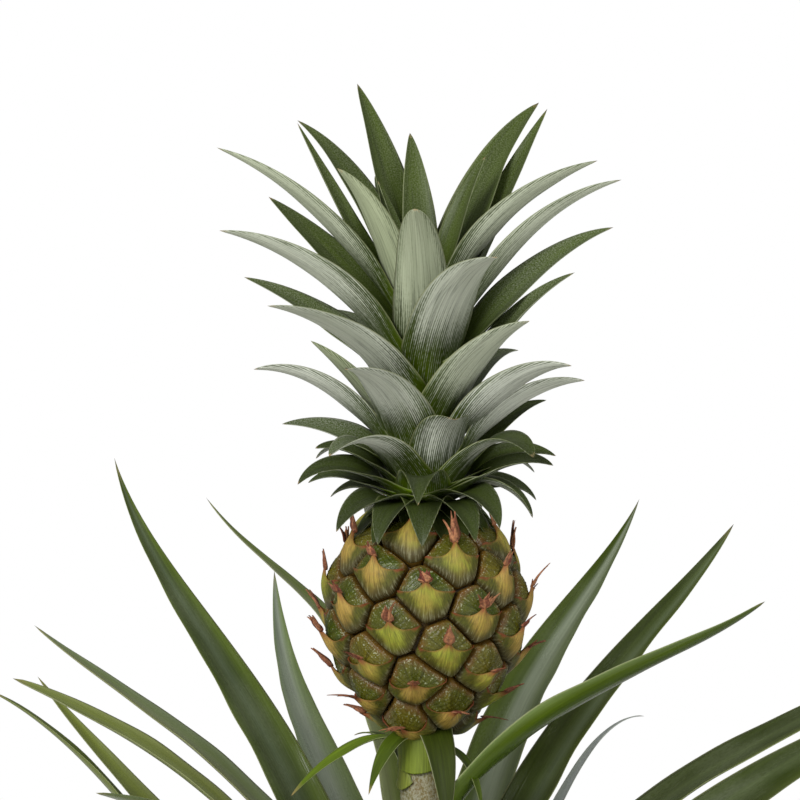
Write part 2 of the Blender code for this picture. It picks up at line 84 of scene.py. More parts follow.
def skin_faces(rings, steps):
    """Faces of a closed skin: quads from ring to ring, then triangles from the end rings to their poles.

    Each ring has steps points, the rings follow one another, and the two poles come after them.
    """
    i, j = np.meshgrid(np.arange(rings - 1), np.arange(steps), indexing="ij")
    a, b = i * steps + j, i * steps + (j + 1) % steps
    quads = np.stack([a, a + steps, b + steps, b], -1).reshape(-1, 4)
    j = np.arange(steps)
    k, last, poles = (j + 1) % steps, (rings - 1) * steps, rings * steps
    caps = [np.stack([j * 0 + poles, j, k], -1), np.stack([j * 0 + poles + 1, last + k, last + j], -1)]
    return quads, np.vstack(caps)


def revolved(profile, steps):
    """Points and faces of a profile (radius, height) turned about Z: (r sin a, -r cos a, z).

    The profile runs from the axis down the outside and back to the axis, so both ends are poles.
    """
    r, z = np.array(profile[1:-1], float).T[..., None]
    angle = np.arange(steps) * 2 * math.pi / steps
    ring = np.stack([r * np.sin(angle), -r * np.cos(angle), z + 0 * angle], -1)
    points = np.vstack([ring.reshape(-1, 3), [[0, 0, profile[0][1]], [0, 0, profile[-1][1]]]])
    quads, caps = skin_faces(len(r), steps)
    return points, quads.tolist() + caps.tolist()


def linear(code):
    """Linear colour of an sRGB hex value: ((c + 0.055) / 1.055) ^ 2.4 above 0.04045, and c / 12.92 below."""
    c = np.array([int(code[i : i + 2], 16) for i in (1, 3, 5)]) / 255
    return (*np.where(c <= 0.04045, c / 12.92, ((c + 0.055) / 1.055) ** 2.4).tolist(), 1.0)


def add_node(tree, kind, inputs=None, output=None, **settings):
    """Adds a shader node with its settings, and gives each input a link, a value or a hex colour.

    It returns the output that is named, or else the first that the settings leave in use.
    """
    made = tree.nodes.new("ShaderNode" + kind)
    for key, value in settings.items():
        setattr(made, key, value)
    for key, value in (inputs or {}).items():
        if isinstance(value, bpy.types.NodeSocket):
            tree.links.new(value, made.inputs[key])
        else:
            made.inputs[key].default_value = linear(value) if isinstance(value, str) else value
    return made.outputs[output] if output else next(socket for socket in made.outputs if socket.enabled)


def material(name, **constants):
    """A new material, add_node for its tree, and its Principled shader with the constants on its sockets."""
    made = bpy.data.materials.new(name)
    made.use_nodes = True
    shader = made.node_tree.nodes["Principled BSDF"]
    for key, value in constants.items():
        shader.inputs[key.replace("_", " ")].default_value = value
    return made, functools.partial(add_node, made.node_tree), shader


def wire(shader, **outputs):
    """Links outputs to the shader's sockets, whose names have _ for each space."""
    for key, output in outputs.items():
        shader.id_data.links.new(output, shader.inputs[key.replace("_", " ")])


def piece(name, points, faces, finish, node=None, maps=None, values=None):
    """A mesh object made from points in millimetres, with its maps and values, riding on the one body.

    maps holds one (u, v) per point for each UV map, and values one number or colour for each attribute.
    """
    mesh = bpy.data.meshes.new(name)
    mesh.from_pydata(np.asarray(points) * MM, [], faces)
    corners = np.empty(len(mesh.loops), int)
    mesh.loops.foreach_get("vertex_index", corners)
    for key, uv in (maps or {}).items():
        mesh.uv_layers.new(name=key).data.foreach_set("uv", np.asarray(uv, np.float32)[corners].ravel())
    for key, value in (values or {}).items():
        value = np.asarray(value, np.float32)
        form, field = ("FLOAT", "value") if value.ndim == 1 else ("FLOAT_COLOR", "color")
        mesh.attributes.new(key, form, "POINT").data.foreach_set(field, value.ravel())
    mesh.materials.append(finish)
    mesh.shade_smooth()
    made = bpy.data.objects.new(name, mesh)
    bpy.context.scene.collection.objects.link(made)
    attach(made, "root")
    if node:
        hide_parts(node)
    return made


# Polypropylene comes out of the mould with a fine even grain and a low gloss; handling and watering leave
# faint paler scuffs and a chalky tide mark low on the wall.
moulded_polypropylene, add, shader = material("moulded_polypropylene", IOR=1.49)
where = add("TexCoord", output="Object")
scuffs = add("TexNoise", {"Vector": where, "Scale": 38.0, "Detail": 6.0, "Roughness": 0.62})
worn = add("MapRange", {0: scuffs, 1: 0.48, 2: 0.72, 3: 0.0, 4: 0.35})
height = add("SeparateXYZ", {0: where}, "Z")
tide = add("MapRange", {0: height, 1: 0.0, 2: 0.035, 3: 0.35, 4: 0.0}, interpolation_type="SMOOTHSTEP")
chalk = add("Math", {0: worn, 1: tide}, operation="MAXIMUM")
colour = add("Mix", {0: chalk, 6: "#8a4a35", 7: "#ad8471"}, data_type="RGBA")
gloss = add("MapRange", {0: scuffs, 1: 0.3, 2: 0.7, 3: 0.42, 4: 0.58})
grain = add("TexNoise", {"Vector": where, "Scale": 1400.0, "Detail": 2.0})
relief = add("Bump", {"Strength": 0.12, "Distance": 0.0003, "Height": grain})
wire(shader, Base_Color=colour, Roughness=gloss, Normal=relief)

slope = (POT_TOP - POT_BASE) / POT_HEIGHT
rim_bottom = POT_HEIGHT - RIM_DEPTH
pot_outline = [
    (0.0, FLOOR), (POT_BASE - WALL - 0.4, FLOOR), (POT_TOP - WALL + 0.3, POT_HEIGHT),
    (RIM_RADIUS, POT_HEIGHT), (RIM_RADIUS - slope * RIM_DEPTH, rim_bottom),
    (POT_BASE + slope * rim_bottom, rim_bottom), (POT_BASE + slope * MID_WALL, MID_WALL),
    (POT_BASE + 0.3, 0.8), (POT_BASE - 1.2, 0.0), (0.0, 0.0),
]
points, faces = revolved(rounded(pot_outline, MOULD_RADIUS), POT_STEPS)
piece("pot_wall", points, faces, moulded_polypropylene, "pot")


# ---------------------------------------------------------------------------------------------------------
# Soil. Moist peat-based potting mix: a lumpy surface under a scatter of peat crumbs and white perlite. It
# fills the pot to below the rim, with a hole that the stem stands in.

soil_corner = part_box("soil")[1]
SOIL_TOP, SOIL_EDGE = soil_corner.z / MM - 0.9, soil_corner.x / MM
STEM_HOLE, HOLE_BOTTOM = 21.3, 84.0
CRUMBS, PERLITE_SHARE = 1500, 0.1


def lumps(x, y, seed, size):
    """Mean of eight sine waves over the plane, each with its own heading, and a length near size."""
    draw = np.random.default_rng(seed)
    heading, wave, phase = (draw.uniform(*ends, 8) for ends in ((0, math.pi), (0.5, 1.6), (0, 6.3)))
    way = x[:, None] * np.cos(heading) + y[:, None] * np.sin(heading)
    return np.sin(way * 6.28 / (size * wave) + phase).mean(-1)


def coat(add, under, over, pattern, start, full, most=1.0, soft=False):
    """The colour under, covered by the colour over as the pattern goes from start to full.

    The cover reaches a share of most, which may be a pattern of its own.
    """
    way = "SMOOTHSTEP" if soft else "LINEAR"
    share = add("MapRange", {0: pattern, 1: start, 2: full, 3: 0.0, 4: most}, interpolation_type=way)
    return add("Mix", {0: share, 6: under, 7: over}, data_type="RGBA")


def repeated(faces, count, size):
    """Faces of one shape of size points, numbered on for each of count copies."""
    return (faces + np.arange(count)[:, None, None] * size).reshape(-1, faces.shape[1]).tolist()


# Damp peat is brown on its crumbs and dull all over; the near black where its relief is low is painted shade
# in its hollows.
potting_mix, add, shader = material("moist_potting_mix", Roughness=0.92)
where = add("TexCoord", output="Object")
clods = add("TexNoise", {"Vector": where, "Scale": 260.0, "Detail": 8.0, "Roughness": 0.7})
# Painted shade: near black where the clods relief is low, the peat's own brown where it is high.
colour = coat(add, "#1d140d", "#4c3826", clods, 0.3, 0.7)
pale = add("Attribute", output="Fac", attribute_name="pale")
colour = add("Mix", {0: pale, 6: colour, 7: "#d9d3c4"}, data_type="RGBA")
relief = add("Bump", {"Strength": 0.8, "Distance": 0.001, "Height": clods})
wire(shader, Base_Color=colour, Normal=relief)

radii = np.concatenate([[STEM_HOLE], np.linspace(STEM_HOLE + 0.4, SOIL_EDGE - 0.8, 46), [SOIL_EDGE - 0.3]])
soil_outline = [(0.0, HOLE_BOTTOM), (STEM_HOLE, HOLE_BOTTOM)] + [(r, SOIL_TOP) for r in radii]
soil_outline += [(POT_BASE - WALL - 2.2, FLOOR + 0.4), (0.0, FLOOR + 0.4)]
points, faces = revolved(soil_outline, POT_STEPS)
top = np.abs(points[:, 2] - SOIL_TOP) < 0.01
rough = 0.6 * lumps(points[:, 0], points[:, 1], 3, 14.0) + 0.5 * lumps(points[:, 0], points[:, 1], 4, 5.0)
points[:, 2] += np.where(top, rough, 0.0)
piece("soil_bed", points, faces, potting_mix, "soil", values={"pale": np.zeros(len(points))})

# One crumb is a lump of three rings and two poles on the unit ball, pulled out of round, sized and placed.
draw = np.random.default_rng(11)
lat = np.linspace(0, math.pi, 5)[1:-1, None]
lon = np.arange(6) * math.pi / 3
ball = np.stack([np.sin(lat) * np.cos(lon), np.sin(lat) * np.sin(lon), np.cos(lat) + 0 * lon], -1)
ball = np.vstack([ball.reshape(-1, 3), [[0, 0, 1], [0, 0, -1]]])
quads, caps = skin_faces(3, 6)
crumb_faces = np.vstack([caps, quads[:, [0, 1, 2]], quads[:, [0, 2, 3]]])
reach = np.sqrt(draw.uniform((STEM_HOLE + 3) ** 2, (SOIL_EDGE - 4) ** 2, CRUMBS))
bearing = draw.uniform(0, 2 * math.pi, CRUMBS)
size = draw.uniform(0.5, 1.5, (CRUMBS, 1, 1)) * draw.uniform(0.6, 1.4, (CRUMBS, 1, 3))
shaped = ball * (1 + draw.uniform(-0.25, 0.25, (CRUMBS, len(ball), 1))) * size
height = SOIL_TOP + draw.uniform(-0.2, 0.4, CRUMBS)
seat = np.stack([reach * np.cos(bearing), reach * np.sin(bearing), height], -1)
points = (shaped + seat[:, None]).reshape(-1, 3)
perlite = np.repeat(draw.uniform(0, 1, CRUMBS) > 1 - PERLITE_SHARE, len(ball)).astype(float)
faces = repeated(crumb_faces, CRUMBS, len(ball))
piece("soil_crumbs", points, faces, potting_mix, values={"pale": perlite})


# ---------------------------------------------------------------------------------------------------------
# Stem and stalk. The woody stem stands in the soil and carries every leaf; above it the green fruit stalk,
# ridged and covered in grey-brown scurf, has small leaves of its own that sheathe it and hang over.

STEM_FOOT, STALK_TOP = 84.3, 303.7
STEM_HEIGHTS = [STEM_FOOT, 107.5, 111.0, 164.0, 182.0, 240.0, 278.0, STALK_TOP]
STEM_RADII = [21.0, 21.0, 22.0, 12.0, 10.8, 10.6, 11.2, 11.2]
STEM_RINGS, STEM_STEPS = 90, 96
RIDGES, JOINT_SPACING, WOODY_TOP = 9, 11.0, 185

# azimuth, height, length, width, elevation at the base and towards the tip, how late it bends, roll, taper,
# point, cup, how far it reaches round the stalk; colour of the under face, colour of the upper face
STALK_LEAVES = [
    (-112, 291, 60, 8, 26, -48, 0.4, -45, 2.2, 0.7, 0.5, 0.62, "#63761c", "#5c7212"),
    (-48, 294, 34, 15, -10, -68, 0.5, 0, 1.3, 1.0, 0.5, 0.62, "#56681c", "#47590e"),
    (-22, 277, 22, 22, 89, 88, 1.0, 0, 6.0, 0.4, 0.9, 1.15, "#77862e", "#6a7a22"),
    (20, 296, 45, 15, -10, -86, 0.3, 0, 1.5, 0.8, 0.5, 0.62, "#38450a", "#323d08"),
    (58, 288, 34, 8, 20, -82, 0.35, 0, 2.0, 0.8, 0.6, 0.62, "#6f7c3c", "#4a5c10"),
    (-60, 270, 15, 13, 89, 88, 1.0, 0, 1.6, 0.9, 0.9, 0.9, "#7c8636", "#6a7a22"),
    (170, 270, 40, 10, 70, -10, 1.0, 0, 2.0, 0.85, 0.6, 0.62, "#6f7c3c", "#45521c"),
    (-130, 277, 36, 9, 70, -20, 1.0, 0, 2.0, 0.85, 0.6, 0.62, "#6f7c3c", "#45521c"),
    (20, 215, 46, 15, 87, 70, 1.2, 0, 2.0, 0.85, 0.6, 0.62, "#7d8644", "#45521c"),
]
APART = (0.37, 0.11)  # metres in the map from one blade of a piece to the next, so that no two look alike


def ease(x):
    """Smooth step of x: 3x^2 - 2x^3, held at 0 below 0 and at 1 above 1."""
    x = np.clip(x, 0.0, 1.0)
    return x * x * (3.0 - 2.0 * x)


def stem_radius(z):
    """Radius of the stem at a height, straight between the outline's corners."""
    return float(np.interp(z, STEM_HEIGHTS, STEM_RADII))


def blade(place, shape, rows, across, cup, flare, thick, clasp=0.62, seed=0, waver=0.0):
    """One leaf as a closed shell: its points, quads, end triangles, and its own coordinates at each point.

    The midrib starts at the given azimuth, radius and height, and s runs from 0 to 1 along it. Its elevation
    is rise + (tip_rise - rise) s^late + lift s^5, and its heading is azimuth + turn s^2. Across, each row is
    an arc, with t from -1 to 1: its half angle is that of the stem at the base and cup further out, and its
    half width is width / 2 (1 - s^taper)^point, wider at the foot by flare. Both faces stand off the arc by
    half the thickness, which falls to nothing at the margins as sqrt(1 - t^4). clasp is the half angle, in
    radians, that the base may reach round the stem, and waver how far the margins ripple.
    """
    azimuth, radius, height = place
    length, width, rise, tip_rise, late, turn, lift, roll, taper, point = shape

    def course(s):
        elevation = np.radians(rise + (tip_rise - rise) * s**late + lift * s**5)
        heading = np.radians(azimuth + turn * s**2)
        along = np.stack([np.cos(elevation) * np.sin(heading), -np.cos(elevation) * np.cos(heading),
                          np.sin(elevation)], -1)
        return elevation, heading, along

    steps = rows * 4
    step = course((np.arange(steps) + 0.5) / steps)[2] * (length / steps)
    bearing = math.radians(azimuth)
    start = np.array([radius * math.sin(bearing), -radius * math.cos(bearing), height])
    midrib = np.vstack([start, start + np.cumsum(step, axis=0)])[::4]
    s = np.linspace(0, 1, rows + 1)
    elevation, heading, along = course(s)
    side = np.stack([np.cos(heading), np.sin(heading), 0 * heading], -1)
    above = np.cross(along, side)
    half = width / 2 * (1 - s**taper) ** point * (1 + flare * np.exp(-((s / 0.07) ** 2)))
    girth = np.hypot(midrib[:, 0], midrib[:, 1]) / np.sin(np.clip(elevation, 0.2, None))
    half = np.minimum(half, clasp * girth)
    wrap = np.clip(half / girth, 0.05, clasp)
    angle = (wrap + (cup - wrap) * ease(s / 0.35))[:, None]
    tilt = (np.radians(roll) * ease(s / 0.5))[:, None]
    side, above = side * np.cos(tilt) + above * np.sin(tilt), above * np.cos(tilt) - side * np.sin(tilt)

    t = np.linspace(-1, 1, across + 1)
    t = np.concatenate([t, t[-2:0:-1]])[None, :]
    face = np.concatenate([[0], np.ones(across - 1), [0], -np.ones(across - 1)])[None, :]
    lengthwise, half = (s * length)[:, None], half[:, None]
    ripple = np.sin(lengthwise / 9.0 + seed) + 0.6 * np.sin(lengthwise / 5.3 + 2.1 * seed) * t
    raised = waver * ripple * t**2 * ease(s / 0.2)[:, None] * half / max(half.max(), 1e-6)
    depth = thick / 2 * face * np.sqrt(1 - t**4) * (1 - 0.55 * s[:, None])
    bend = half / angle
    out = bend * np.sin(angle * t) - np.sin(angle * t) * (depth + raised)
    up = bend * (1 - np.cos(angle * t)) + np.cos(angle * t) * (depth + raised)
    ring = midrib[:, None] + out[..., None] * side[:, None] + up[..., None] * above[:, None]
    points = np.vstack([ring[:-1].reshape(-1, 3), midrib[:1], midrib[-1:]])

    def spread(values, ends):
        return np.concatenate([(values + 0 * ring[..., 0])[:-1].ravel(), ends])

    own = {"t": spread(t, [0, 0]), "s": spread(s[:, None], [0, 1]), "across": spread(half * t, [0, 0]),
           "along": spread(lengthwise, [0, length]), "upper": spread(face / 2 + 0.5, [0.5, 0.5])}
    return points, *skin_faces(rows, 2 * across), own


def joined(name, blades, finish, node=None):
    """Puts several blades into one piece: their points one after another, their faces numbered on.

    blades holds (points, quads, caps, own, tint, values). The maps are the blade's own metres across and
    along, moved on by its number, and its span (t, s) from 0 to 1.
    """
    points, faces, flat, span, tints, values = [], [], [], [], [], {}
    for n, (p, quads, caps, own, tint, extra) in enumerate(blades):
        first = sum(len(q) for q in points)
        points.append(p)
        faces += (quads + first).tolist() + (caps + first).tolist()
        flat.append(np.stack([own["across"] * MM + APART[0] * n, own["along"] * MM + APART[1] * n], -1))
        span.append(np.stack([own["t"] / 2 + 0.5, own["s"]], -1))
        tints.append(tint)
        for key, value in {"upper": own["upper"], **extra}.items():
            values.setdefault(key, []).append(value + np.zeros(len(p)))
    values = {key: np.concatenate(value) for key, value in values.items()}
    values["tint"] = np.vstack(tints)
    maps = {"blade": np.vstack(flat), "span": np.vstack(span)}
    return piece(name, np.vstack(points), faces, finish, node, maps, values)


def two_tone(own, under, over, base=None):
    """Colour at each point: over on the upper face, under below, and base at the foot where it is given."""
    share = own["upper"][:, None]
    tint = np.array(linear(under)) * (1 - share) + np.array(linear(over)) * share
    if base:
        foot = ease(1 - own["s"] / 0.3)[:, None]
        tint = tint * (1 - foot) + np.array(linear(base)) * foot
    return tint


def blade_reading(add):
    """What a skin reads on a blade: its map in metres, its shares across and along, its fold and its tint.

    The fold is 0 on the midrib and 0.5 at the margins.
    """
    span = add("UVMap", uv_map="span")
    across, along = (add("SeparateXYZ", {0: span}, axis) for axis in "XY")
    fold = add("Math", {0: across, 1: 0.5}, operation="SUBTRACT")
    fold = add("Math", {0: fold}, operation="ABSOLUTE")
    tint = add("Attribute", output="Color", attribute_name="tint")
    return add("UVMap", uv_map="blade"), across, along, fold, tint


def streaks(add, flat, squeeze, scale, detail, roughness=0.5):
    """Noise over a blade's map, drawn out along it: it varies squeeze times as fast along as across."""
    drawn = add("Mapping", {0: flat, 3: (1.0, squeeze, 1.0)})
    return add("TexNoise", {"Vector": drawn, "Scale": scale, "Detail": detail, "Roughness": roughness})


def shaded(add, colour, pattern, low, high, dim, bright):
    """The colour times a brightness that runs from dim to bright as the pattern goes from low to high."""
    light = add("MapRange", {0: pattern, 1: low, 2: high, 3: dim, 4: bright})
    return add("VectorMath", {0: colour, 3: light}, operation="SCALE")


# A bract has the skin of a leaf, thinner and yellower, with close lengthwise fibres 0.7 mm apart.
bract_skin, add, shader = material("green_bract_skin", Roughness=0.45, IOR=1.45, Specular_IOR_Level=0.3)
flat, across, along, fold, tint = blade_reading(add)
fibres = streaks(add, flat, 0.04, 1400.0, 2.0)
colour = shaded(add, tint, fibres, 0.3, 0.7, 0.75, 1.3)
colour = coat(add, colour, "#bcbd92", fold, 0.465, 0.495, 0.7)
colour = coat(add, colour, "#a08a58", along, 0.86, 0.99)
relief = add("Bump", {"Strength": 0.35, "Distance": 0.0003, "Height": fibres})
wire(shader, Base_Color=colour, Normal=relief)

# Scurf is a coat of tiny grey scales, each about 0.5 mm, over a green stalk that shows through in flecks.
scurfy_stalk, add, shader = material("scurfy_stalk_bark", Roughness=0.8)
where = add("TexCoord", output="Object")
scales = add("Mapping", {0: where, 3: (1.0, 1.0, 0.7)})
scales = add("TexNoise", {"Vector": scales, "Scale": 1100.0, "Detail": 4.0, "Roughness": 0.7})
patches = add("TexNoise", {"Vector": where, "Scale": 130.0, "Detail": 3.0})
green = add("Mix", {0: patches, 6: "#66702c", 7: "#86694a"}, data_type="RGBA")
colour = coat(add, green, "#a3a188", scales, 0.42, 0.6)
relief = add("Bump", {"Strength": 0.6, "Distance": 0.0006, "Height": scales})
wire(shader, Base_Color=colour, Normal=relief)

heights = np.linspace(STALK_TOP, STEM_FOOT, STEM_RINGS)
outline = [(0.0, STALK_TOP)] + [(stem_radius(z), z) for z in heights] + [(0.0, STEM_FOOT)]
points, faces = revolved(outline, STEM_STEPS)
angle = np.arctan2(points[:, 0], -points[:, 1])
ridged = 0.25 * np.sin(RIDGES * angle + points[:, 2] / 40) + 0.35 * lumps(angle * 11, points[:, 2], 5, 9.0)
from_joint = points[:, 2] % JOINT_SPACING - JOINT_SPACING / 2
joint = 0.5 * np.exp(-((from_joint / 0.8) ** 2)) * (points[:, 2] < WOODY_TOP)
reach = np.hypot(points[:, 0], points[:, 1])
points[:, :2] *= np.where(reach > 1, 1 + (ridged - 0.5 + joint) / np.maximum(reach, 1), 1.0)[:, None]
piece("stem_core", points, faces, scurfy_stalk, "stalk")

# A sheath stands upright against the stalk and its foot is a shallow arc; the others spring from the stalk.
bracts = []
for n, row in enumerate(STALK_LEAVES):
    azimuth, z, length, width, rise, tip_rise, late, roll, taper, point, cup, clasp, under, over = row
    sheath = rise > 88
    place = (azimuth, stem_radius(z) + (0.7 if sheath else -1.2), z)
    shape = (length, width, rise, tip_rise, late, 0, 0, roll, taper, point)
    made = blade(place, shape, 36, 14, cup, flare=0.1, thick=0.7, clasp=clasp, seed=n, waver=0.2)
    points, own = made[0], made[3]
    if sheath:
        points[:, 2] += 3.5 * (own["t"] * (1 - own["s"])) ** 2
    bracts.append((*made, two_tone(own, under, over), {}))
joined("stalk_leaves", bracts, bract_skin)


# ---------------------------------------------------------------------------------------------------------
# Rosette. Stiff strap leaves, channelled and drawn out to a point, that clasp the stem one above another.
# The skin is a thick waxy cuticle over parallel fibres, with a pale margin and a grey bloom of tiny scales.

# From the lowest leaf up: azimuth, height on the stem, length, width, elevation at the base and towards the
# tip, how late it bends, turn, lift of the tip, roll, taper, point; how thick the grey bloom lies, from 0 to
# 1; and two colours, of the under and the upper face, or those of its bands from one margin to the other.
# The bands hold painted sheen and painted shade as well as the leaf's own greens: pale grey stripes such as
# the middle one of leaf_18 are painted reflections, and leaf_27 is kept dark towards its upper margin as
# painted shade against the light from above.
# Plain leaves share all but the first six.
PLAIN = (1.2, 0, 0, 0, 2.2, 0.9, 0.3, "#5c6844 #46542a")
ROSETTE = [
    (72, 109, 262, 28, 57, 26, 1.3, -8, -14, 10, 2.6, 0.75, 0.5, "#4d5a3c #3f4a2c"),
    (-149, 111, 275, 26, 46, -46), (-12, 113, 265, 26, 48, -44), (126, 115, 262, 26, 50, -42),
    (-78, 117, 255, 26, 55, 56, 1.2, -18, -30, 0, 2.4, 0.65, 0.2, "#657030 #4b5720"),
    (41, 119, 245, 26, 53, -36), (178, 121, 250, 26, 55, -34),
    (-34, 123, 290, 25, 65, -2, 1.16, 9, 12, 15, 2.1, 0.7, 0.3, "#55643a #45541e"),
    (93, 126, 266, 30, 68, 8, 1.16, 13, 23, 45, 2.6, 0.6, 0.35,
     "#56622c #3a4614 #2e3a0c #424e28 #2e3a0c #333f0e"),
    (-125, 128, 225, 25, 60, -28), (8, 129, 220, 25, 62, -26),
    (146, 131, 236, 12, 60, 43, 1.44, 0, -50, -15, 1.9, 0.8, 0.5, "#b0b6b4 #b0b8b4 #a4aca4"),
    (-90, 135, 233, 27, 57, 40, 1.16, -5, 14, -25, 2.1, 0.85, 0.2,
     "#7a8250 #6c7634 #646e2c #6c7634 #7c8450"),
    (40, 137, 200, 24, 64, -14),
    (-162, 139, 350, 27, 74, 0, 0.63, -11, 60, -3, 1.8, 0.8, 0.4, "#5a6a34 #6c7a54 #7a8272 #727c6a #62724e"),
    (-20, 141, 185, 24, 69, -16),
    (-135, 143, 323, 29, 70, 16, 1.33, 0, 54, -20, 2.3, 1.04, 0.35,
     "#506018 #485818 #3e4a26 #4a563c #3e4a26 #3c4a18 #4c5c1a"),
    (164, 145, 348, 27, 78, 5, 0.8, -22, 49, 15, 3.4, 1.09, 0.25,
     "#5c6a40 #6a7650 #8a947a #88927a #50602a #44540c #46560c"),
    (7, 147, 165, 15, 70, -8),
    (-62, 149, 244, 28, 66, 10, 1.5, -23, 15, -20, 2.6, 0.62, 0.2,
     "#7a8250 #6a7434 #6c7638 #687234 #7c8450"),
    (67, 151, 261, 30, 74, 12, 0.8, 30, 19, 28, 2.8, 0.6, 0.3,
     "#76824c #4a5428 #2e3812 #3e4826 #262f0a #2c360e"),
    (-10, 155, 125, 20, 78, 4),
    (-92, 157, 243, 25, 78, 13, 1.0, -6, 28, -15, 2.2, 0.8, 0.35, "#6a7458 #5c6840 #666e4c #7c7f50 #868b5c"),
    (118, 159, 267, 30, 85, 24, 0.9, 1, 29, 20, 2.1, 0.82, 0.2,
     "#48541a #3e4a18 #525e3e #3e4a20 #2c370a #323e0a"),
    (40, 161, 100, 18, 83, 20),
    (-168, 163, 350, 18, 86, -18, 0.97, 30, 60, 8, 2.2, 0.9, 0.25,
     "#5c6840 #4e5a22 #566228 #727a4c #8a9264"),
    (64, 258, 167, 24, 88, 15, 0.27, 26, 23, -19, 1.9, 0.62, 0.05,
     "#5c6c3c #4a5c14 #3e5204 #3a4e02 #384c02 #465a06"),
]
LEAF_SEAT = 0.95  # from the stem's surface to the middle of a leaf's base
ON_STALK = 200  # a leaf from above this height grows on the fruit's stalk, and is pale at its foot


def banded(own, colours):
    """Colour at each point, from one to the next of the colours across the blade, t from -1 to 1."""
    stops = np.array([linear(code) for code in colours])
    return np.stack([np.interp(own["t"], np.linspace(-1, 1, len(stops)), row) for row in stops.T], -1)


# What gives the eye: fibres about 1 mm apart under a smooth skin, broader light and dark bands 5 mm wide, a
# dusty grey bloom broken into short flecks, a thin pale margin, and a tip that has dried to tan.
leaf_cuticle, add, shader = material("waxy_leaf_cuticle", IOR=1.45, Specular_IOR_Level=0.35)
flat, across, along, fold, tint = blade_reading(add)
upper = add("Attribute", output="Fac", attribute_name="upper")
layer = add("CombineXYZ", {2: upper})
flat = add("VectorMath", {0: flat, 1: layer}, operation="ADD")
fibres = streaks(add, flat, 0.02, 900.0, 3.0, 0.6)
bands = streaks(add, flat, 0.06, 170.0, 2.0)
flecks = streaks(add, flat, 0.3, 1500.0, 2.0)
clouds = streaks(add, flat, 0.3, 60.0, 3.0)
colour = shaded(add, tint, fibres, 0.3, 0.7, 0.87, 1.13)
colour = shaded(add, colour, bands, 0.3, 0.7, 0.82, 1.18)
dust = add("MapRange", {0: flecks, 1: 0.3, 2: 0.75, 3: 0.3, 4: 0.6})
bloom = add("Attribute", output="Fac", attribute_name="bloom")
dust = add("Math", {0: dust, 1: bloom}, operation="MULTIPLY")
thick = add("MapRange", {0: clouds, 1: 0.4, 2: 0.68, 3: 0.05, 4: 1.0})
dust = add("Math", {0: dust, 1: thick}, operation="MULTIPLY")
colour = add("Mix", {0: dust, 6: colour, 7: "#9fa888"}, data_type="RGBA")
colour = coat(add, colour, "#a8ad7c", fold, 0.468, 0.495, 0.7)
ragged = add("Math", {0: fibres, 1: 0.1, 2: along}, operation="MULTIPLY_ADD")
colour = coat(add, colour, "#8f8458", ragged, 1.02, 1.06)
gloss = add("MapRange", {0: dust, 1: 0.0, 2: 0.5, 3: 0.25, 4: 0.42})
relief = add("Bump", {"Strength": 0.4, "Distance": 0.0004, "Height": fibres})
wire(shader, Base_Color=colour, Roughness=gloss, Normal=relief)

for n, row in enumerate(ROSETTE):
    azimuth, z, *shape, bloom, colours = row if len(row) > 6 else row + PLAIN
    name, colours, on_stalk = f"leaf_{n + 1:02d}", colours.split(), z > ON_STALK
    place, flare = (azimuth, stem_radius(z) + LEAF_SEAT, z), 0.0 if on_stalk else 0.25
    made = blade(place, shape, 60, 18, cup=0.6, flare=flare, thick=1.1, seed=n, waver=0.5)
    own = made[3]
    tint = two_tone(own, *colours, "#8d9a5c") if len(colours) == 2 else banded(own, colours)
    # Painted shade: below the stalk a leaf is darker towards its foot, where the leaves crowd round the
    # stem, and lighter towards its tip; a leaf on the stalk is paler at its foot.
    tint[:, :3] *= (1.7 - 0.8 * own["s"] if on_stalk else 0.8 + 0.35 * own["s"])[:, None]
    joined(name + "_blade", [(*made, tint, {"bloom": bloom})], leaf_cuticle, name)


# ---------------------------------------------------------------------------------------------------------
# Fruit. Many small fruits grown into one: each eye is a firm domed panel, parted from the next by a deep
# groove, with a leathery bract over its lower half and the dried flower standing at its middle.

# EYE_AREA is in square millimetres, and EYE_START is the height and azimuth of the first eye.
FRUIT_OUTLINE = [(291.5, 10.0), (294.0, 16.0), (299.0, 20.5), (306.0, 27.0), (314.0, 33.5), (324.0, 38.8),
                 (334.0, 42.0), (345.0, 43.2), (356.0, 42.4), (366.0, 39.2), (374.0, 34.6), (381.0, 28.5),
                 (386.0, 21.0), (388.0, 12.0)]
EYE_AREA, EYE_START, GOLDEN_ANGLE, END_CLEAR = 515.0, (330.3, 12.5), 137.508, 3.0
EYE_RINGS, EYE_SPOKES = 26, 60
FRUIT_MIDDLE, FURTHEST_NEIGHBOUR, EYE_REACH, CORNER_POWER = 340.0, 45.0, 17.0, 20
EYE_DEPTH, EYE_BOTTOM, FLESH_DEPTH, FLESH_STEPS = 7.0, 9.0, 8.0, 120
BRACT_ACROSS, BRACT_UP, TOP_BRACTS = 36, 18, 366.0
PETAL_RINGS, PETAL_STEPS, FLOWERS_TOP = 9, 6, 380.0

# The smooth outside, as seen from the fruit's middle: how far it reaches at each turn from level.
outline_z, outline_r = np.array(FRUIT_OUTLINE).T
turns = np.linspace(-math.pi / 2, math.pi / 2, 361)
from_middle = outline_z - FRUIT_MIDDLE
reaches = np.interp(turns, np.arctan2(from_middle, outline_r), np.hypot(outline_r, from_middle))
window = np.exp(-(np.arange(-20, 21) / 9.0) ** 2)
reaches = np.convolve(np.pad(reaches, 20, mode="edge"), window / window.sum(), mode="valid")


def fruit_radius(z):
    """Radius of the fruit at a height, straight between the outline's corners."""
    return np.interp(z, outline_z, outline_r)


def fruit_slope(z):
    """How fast that radius grows with height, over 2 mm."""
    return (fruit_radius(z + 1.0) - fruit_radius(z - 1.0)) / 2.0


